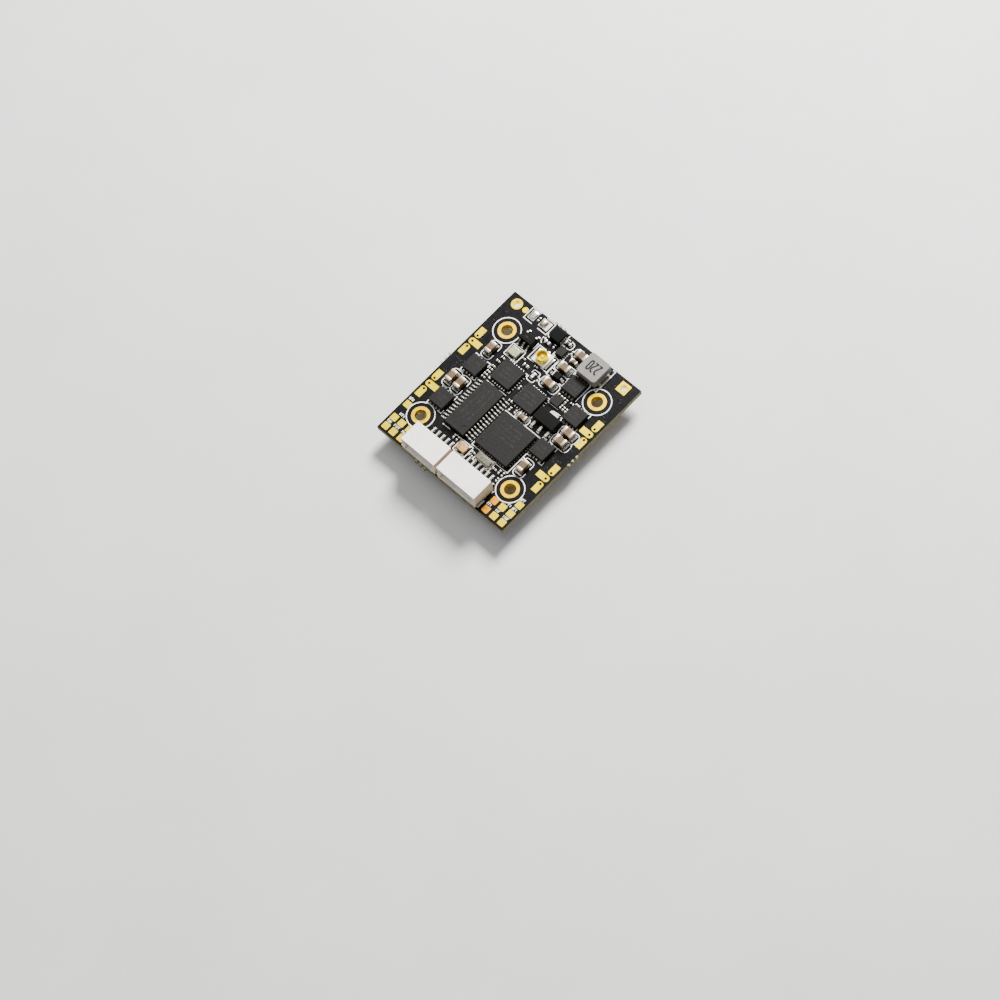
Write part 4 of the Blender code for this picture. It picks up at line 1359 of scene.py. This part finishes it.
def add_antenna_socket():
    node = "antenna_socket_base"
    _, high, middle, size = node_frame(node)
    base = Shape("nylon", "tin", "solder", "gold")
    base.box("nylon", size, middle, 0.05, 2)
    base.cylinder("gold", 0.82, 0.3, (middle.x, middle.y, high.z + 0.1), 0.03, 32)
    for sign in (-1.0, 1.0):
        x = middle.x + sign * (size.x / 2.0 + 0.15)
        base.box("tin", (0.42, 2.2, 0.12), (x, middle.y, TOP + 0.08), 0.02)
        base.dome("solder", (0.42, 2.1, 0.1), (x + sign * 0.04, middle.y, TOP + 0.12))
    y = middle.y + size.y / 2.0 + 0.12
    base.box("tin", (0.45, 0.4, 0.12), (middle.x, y, TOP + 0.08), 0.02)
    base.link("antenna_socket_base_part", slot="socket_white", replaces=[node])
    skirt = Shape("gold")
    floor = high.z + 0.02
    profile = [(1.0, floor), (1.14, floor), (1.14, floor + 0.07), (1.03, floor + 0.12), (1.0, floor + 0.12)]
    skirt.lathe("gold", profile, (middle.x, middle.y, 0.0), 48)
    top = node_box("antenna_socket_shell")[1].z
    lip = [(0.8, -0.09), (1.02, -0.1), (1.03, -0.04), (0.98, 0.015), (0.86, 0.015), (0.8, -0.04)]
    skirt.lathe("gold", lip, (middle.x, middle.y, top), 48)
    skirt.link("antenna_socket_rims", slot="gold_plating")


# ---------------------------------------------------------------- plug sockets


def add_plug_socket(node, contact_count):
    low, high, middle, size = node_frame(node + "_housing")
    wall = 0.45
    front = low.y
    housing = Shape("nylon")
    housing.box("nylon", size, middle, 0.12, 3)
    mouth = Shape("nylon")
    mouth_size = (size.x - 1.4, size.y, size.z - 2.0 * wall)
    mouth.box("nylon", mouth_size, (middle.x, front + (size.y - 1.0) / 2.0 - 0.5, middle.z), 0.06, 2)
    step = Shape("nylon")
    step_middle = (middle.x, front + 0.3 - 0.5, low.z + wall + 0.6 + size.z / 2.0)
    step.box("nylon", (size.x + 1.0, 1.0, size.z), step_middle)
    notch = Shape("nylon")
    notch.box("nylon", (1.3, 0.5, 0.6), (low.x + 1.7, front, high.z - 0.42), 0.04, 1)
    rib_slots = Shape("nylon")
    for sign in (-1.0, 1.0):
        x = middle.x + sign * (size.x / 2.0 - 0.7)
        rib_slots.box("nylon", (0.5, 4.4, 0.7), (x, front, middle.z + 0.45))
    slots = Shape("nylon")
    contacts = [node_middle(f"{node}_contact_{index}") for index in range(1, contact_count + 1)]
    for contact in contacts:
        slots.box("nylon", (0.34, 1.8, 2.0), (contact.x, high.y, low.z + 0.5))
    tools = [mouth, step, notch, rib_slots, slots]
    housing.link(node + "_housing_part", "socket_white", [node + "_housing"], tools)
    tails = Shape("tin", "solder")
    tail_end = node_box(f"{node}_contact_1")[1].y
    for contact in contacts:
        tails.box("tin", (0.44, 1.3, 0.03), (contact.x, tail_end - 0.45, TOP + 0.018))
        tails.dome("solder", (0.4, 1.15, 0.14), (contact.x, tail_end - 0.42, TOP + 0.03))
    tails.link(node + "_tail_solder", slot="tinned_metal")
    tabs = Shape("tin", "solder")
    for sign in (-1.0, 1.0):
        x = middle.x + sign * (size.x / 2.0 + 0.06)
        tabs.box("tin", (0.12, 1.6, 0.9), (x, front + 1.1, TOP + 0.48), 0.03)
        tabs.box("tin", (0.3, 1.6, 0.1), (x + sign * 0.1, front + 1.1, TOP + 0.06), 0.03)
    tabs.link(node + "_tabs", slot="tinned_metal")


# ---------------------------------------------------------------- the underside


def flipped(shape):
    """Turns a shape made on the board's top over to its underside, facing the same way out."""
    shape.mesh.transform(UNDER)
    bmesh.ops.reverse_faces(shape.mesh, faces=shape.mesh.faces)
    return shape


UNDER_POWER_CHIPS = (
    (-9.4, 4.9),
    (-9.4, 0.9),
    (-9.4, -3.1),
    (-5.6, -11.5),
    (9.4, 4.9),
    (9.4, 0.9),
    (9.4, -3.1),
    (5.6, -11.5),
)
UNDER_DRIVERS = ((-4.8, 5.6), (4.8, 5.6))


def add_under_power_chips():
    for index, (x, y) in enumerate(UNDER_POWER_CHIPS, start=1):
        body = Shape("epoxy", "tin", "solder")
        body.drafted("epoxy", (3.1, 3.05, 0.85), (x, y, TOP + 0.46), 0.05, 0.04)
        for side in (0.0, 180.0):
            matrix = place((x, y, TOP), side)
            for offset in centred(4, 0.65):
                lead = rectangle(offset - 0.19, offset + 0.19, -1.85, -1.3)
                body.prism("tin", lead, 0.05, 0.26, 0.03, matrix)
                foot = matrix @ Vector((offset, -1.83, 0.01))
                body.fillet("solder", 0.36, 0.28, 0.2, foot, side - 90.0)
        flipped(body).link(f"under_mosfet_{index}", slot="chip_plastic")


def add_under_chips():
    for index, (x, y) in enumerate(UNDER_DRIVERS, start=3):
        body = Shape("epoxy", "tin", "solder")
        body.drafted("epoxy", (4.1, 4.1, 0.8), (x, y, TOP + 0.44), 0.015, 0.04)
        pads_round_chip(body, "solder", (x, y), 2.05, 6, 0.5, 0.22, 0.36, 0.14)
        flipped(body).link(f"motor_driver_chip_{index}", slot="chip_plastic")
    _, _, middle, size = node_frame("gyro_chip")
    body = Shape("epoxy", "solder")
    body.drafted("epoxy", size, (middle.x, middle.y, TOP + 0.47), 0.015, 0.04)
    pads_round_chip(body, "solder", middle.xy, 2.0, 6, 0.5, 0.22, 0.32, 0.14)
    flipped(body).link("gyro_chip_part", slot="chip_plastic", replaces=["gyro_chip"])
    _, _, middle, size = node_frame("flash_chip")
    body = Shape("epoxy", "tin", "solder")
    body.drafted("epoxy", size, (middle.x, middle.y, TOP + 0.42), 0.015, 0.04)
    outline = rectangle(-0.2, 0.4, -0.22, 0.22)
    pads_on_two_sides(body, middle, 3.0, 4, 1.27, outline, 0.04, (0.4, 0.3, 0.2, 0.035))
    flipped(body).link("flash_chip_part", slot="chip_plastic", replaces=["flash_chip"])


UNDER_TINY_ROWS = (
    ((-6.6, -0.5), True, 5, (0.75, 0.0)),
    ((6.0, -0.65), False, 5, (0.0, 0.75)),
    ((-5.9, -6.6), False, 4, (0.0, 0.8)),
    ((5.4, -7.2), False, 5, (0.0, 0.75)),
    ((-1.8, 3.9), True, 6, (0.72, 0.0)),
    ((-3.0, 9.3), True, 8, (0.78, 0.0)),
)


def add_under_silkscreen():
    shape = Shape("silk")
    silk_mount_rings(shape)
    for middle in UNDER_POWER_CHIPS:
        silk_corners(shape, middle, 3.45, 3.8, 0.7, 0.5)
    for middle in UNDER_DRIVERS:
        silk_corners(shape, middle, 4.95, 4.95, 0.5, 0.5)
    silk_corners(shape, node_middle("gyro_chip").xy, 4.9, 4.9, 0.5, 0.5)
    silk_corners(shape, node_middle("flash_chip").xy, 7.4, 5.6, 0.6, 0.6)
    for start, along_y, count, step in UNDER_TINY_ROWS:
        half_run = ((count - 1) * step[0] / 2.0, (count - 1) * step[1] / 2.0)
        middle = (start[0] + half_run[0], start[1] + half_run[1])
        width = 2.0 * half_run[0] + (0.85 if along_y else 1.6)
        length = 2.0 * half_run[1] + (1.6 if along_y else 0.85)
        silk_corners(shape, middle, width, length, 0.3, 0.3)
    flipped(shape).link("silk_under")


def add_under_tiny_parts():
    count = 0
    for start, along_y, number, step in UNDER_TINY_ROWS:
        for index in range(number):
            count += 1
            kind = "ceramic" if index % 2 else "resistor"
            shape = Shape(kind, "tin", "solder")
            middle = (start[0] + step[0] * index, start[1] + step[1] * index)
            two_ended(shape, middle, (0.95, 0.5, 0.35), along_y, kind, 0.22, 0.03)
            flipped(shape).link(f"under_part_{count:02d}", slot="chip_plastic")


def add_usb_details():
    low, high = node_box("usb_shell")
    insert_front = node_box("usb_insert")[1].y
    contacts = Shape("gold")
    tongue_bottom = high.z - 0.3 - 0.45 - 0.6
    for offset in centred(5, 0.65):
        contacts.box("gold", (0.3, 2.3, 0.05), (offset, insert_front - 1.25, tongue_bottom - 0.02), 0.015)
    contacts.link("usb_contacts", slot="gold_plating")
    tabs = Shape("steel", "solder")
    for sign in (-1.0, 1.0):
        for y in (low.y + 0.8, high.y - 1.2):
            x = sign * (high.x + 0.3)
            tabs.box("steel", (0.8, 0.9, 0.2), (x, y, high.z - 0.1), 0.05)
            tabs.dome("solder", (1.3, 1.3, -0.3), (x, y, BOTTOM - 0.01))
    tabs.link("usb_tabs", slot="shell_steel")
    tails = Shape("tin", "solder")
    for offset in centred(5, 0.65):
        tails.box("tin", (0.3, 0.9, 0.12), (offset, low.y - 0.35, high.z - 0.05), 0.03)
        tails.box("tin", (0.4, 1.3, 0.03), (offset, low.y - 0.5, BOTTOM - 0.018))
    tails.link("usb_tails", slot="tinned_metal")


def add_button_details():
    low, high = node_box("boot_button_cover")
    legs = Shape("tin", "solder")
    for sign_x in (-1.0, 1.0):
        for sign_y in (-1.0, 1.0):
            x = (low.x + high.x) / 2.0 + sign_x * (high.x - low.x + 0.5) / 2.0
            y = (low.y + high.y) / 2.0 + sign_y * 0.85
            legs.box("tin", (0.6, 0.5, 0.15), (x, y, BOTTOM - 0.09), 0.03)
    legs.link("boot_button_legs", slot="tinned_metal")


# ---------------------------------------------------------------- traces and vias under the mask


VIA_TRIES = 46
VIA_SPACING = 0.5


def add_traces():
    """Copper runs that stand out faintly under the mask, and the small plated vias they meet."""
    runs = (
        [(-8.4, 8.3), (-9.5, 7.9), (-11.6, 7.9), (-12.1, 7.4), (-12.1, 6.4)],
        [(-8.0, 7.9), (-11.9, 8.9), (-12.5, 9.5), (-12.5, 12.6)],
        [(12.2, -9.1), (12.2, -8.4), (11.2, -7.4), (10.4, -7.4)],
        [(11.9, -3.3), (11.2, -3.3), (10.9, -3.0)],
        [(12.9, 1.3), (12.9, -1.3)],
        [(12.4, 1.3), (12.4, -1.4)],
        [(11.9, 0.2), (11.9, -1.9)],
        [(-12.9, 1.5), (-12.9, -1.5)],
        [(-12.4, 1.4), (-12.4, -1.5)],
        [(13.3, 8.4), (13.3, 12.0), (12.9, 12.4)],
        [(12.9, 8.4), (12.9, 12.0)],
        [(9.2, 12.9), (12.6, 12.9)],
        [(-8.0, -8.4), (-7.2, -8.4), (-6.9, -8.9), (-6.9, -10.0)],
        [(-5.8, -9.9), (-5.8, -9.1), (-5.2, -8.9), (-3.6, -8.9)],
        [(-4.7, -9.9), (-4.7, -9.4)],
        [(-6.0, 7.2), (-6.0, 6.9), (-3.0, 6.9)],
        [(8.2, -8.0), (7.9, -8.4), (7.9, -9.3)],
        [(11.9, 9.2), (12.4, 9.2), (12.7, 8.9)],
        [(9.0, 13.4), (9.7, 14.1), (10.2, 14.1)],
        [(-12.9, 10.2), (-12.9, 12.4)],
    )
    traces = Shape("mask")
    for points in runs:
        traces.ribbon("mask", points, 0.22, TOP, TOP + TRACE_HEIGHT)
    traces.link("masked_traces", slot="solder_mask")
    vias = Shape("mask", "gold")
    chance = random.Random(3)
    spots = [points[0] for points in runs] + [points[-1] for points in runs]
    for _ in range(VIA_TRIES):
        side = chance.choice((-1.0, 1.0))
        spots.append((side * chance.uniform(11.2, 12.3), chance.uniform(-1.8, 1.8)))
    taken = []
    for x, y in spots:
        if any(math.hypot(x - other[0], y - other[1]) < VIA_SPACING for other in taken):
            continue
        taken.append((x, y))
        profile = [(0.1, TOP), (0.24, TOP), (0.23, TOP + 0.022), (0.13, TOP + 0.022)]
        vias.lathe("mask", profile, (x, y, 0.0), 16)
    vias.link("tented_vias", slot="solder_mask")


# ---------------------------------------------------------------- floor, lights, camera


def add_stage():
    mesh = bpy.data.meshes.new("floor")
    shape = bmesh.new()
    bmesh.ops.create_grid(shape, x_segments=1, y_segments=1, size=1.5)
    bmesh.ops.translate(shape, vec=(0.0, 0.0, -0.00001), verts=shape.verts)
    shape.to_mesh(mesh)
    shape.free()
    mesh.materials.append(MATERIALS["floor"])
    floor = bpy.data.objects.new("floor", mesh)
    bpy.context.scene.collection.objects.link(floor)


def add_light(name, direction, distance, size, power, color):
    light = bpy.data.lights.new(name, "AREA")
    light.shape = "DISK"
    light.size = size
    light.energy = power
    light.color = color
    item = bpy.data.objects.new(name, light)
    aim = Vector(direction).normalized()
    item.location = aim * distance
    item.rotation_mode = "QUATERNION"
    item.rotation_quaternion = aim.to_track_quat("Z", "Y")
    bpy.context.scene.collection.objects.link(item)


def add_lights():
    world = bpy.data.worlds.new("studio")
    world.use_nodes = True
    background = world.node_tree.nodes["Background"]
    background.inputs["Color"].default_value = (0.95, 0.97, 1.0, 1.0)
    background.inputs["Strength"].default_value = 0.3
    bpy.context.scene.world = world
    add_light("softbox", (-0.376, 0.217, 0.9), 0.6, 0.62, 1.3, (1.0, 0.99, 0.97))
    add_light("key", (-0.26, 0.72, 0.64), 0.5, 0.2, 11.0, (1.0, 0.98, 0.95))
    add_light("fill", (0.35, -0.8, 0.45), 0.6, 0.3, 0.8, (1.0, 0.98, 0.96))


def add_camera():
    """The photograph's view: from above the plug sockets' edge, 62 degrees up and rolled."""
    camera = bpy.data.cameras.new("camera")
    camera.lens = 97.2
    camera.sensor_width = 36.0
    camera.clip_start = 0.02
    camera.clip_end = 10.0
    item = bpy.data.objects.new("camera", camera)
    right = Vector((0.7121, 0.6897, -0.1313)).normalized()
    forward = Vector((-0.3764, 0.2173, -0.9006))
    forward = (forward - right * forward.dot(right)).normalized()
    up = right.cross(forward)
    matrix = Matrix((right, up, -forward)).transposed().to_4x4()
    matrix.translation = Vector((169.2, -104.2, 380.7 + TOP)) * MM
    item.matrix_world = matrix
    bpy.context.scene.collection.objects.link(item)
    bpy.context.scene.camera = item


def main():
    add_stage()
    add_lights()
    add_camera()
    dress_plain_nodes()
    add_pads()
    add_broken_tips()
    add_silkscreen()
    add_label_marks()
    add_traces()
    add_square_chips()
    add_power_chips()
    add_osd_chip()
    add_small_regulator()
    add_power_regulator()
    add_buck_chip()
    add_capacitors()
    add_diodes()
    add_tiny_parts()
    add_solder_lands()
    add_crystals()
    add_resonator()
    add_inductors()
    add_antenna_socket()
    add_plug_socket("plug_socket_5", 5)
    add_plug_socket("plug_socket_6", 6)
    add_under_power_chips()
    add_under_chips()
    add_under_silkscreen()
    add_under_tiny_parts()
    add_usb_details()
    add_button_details()


main()
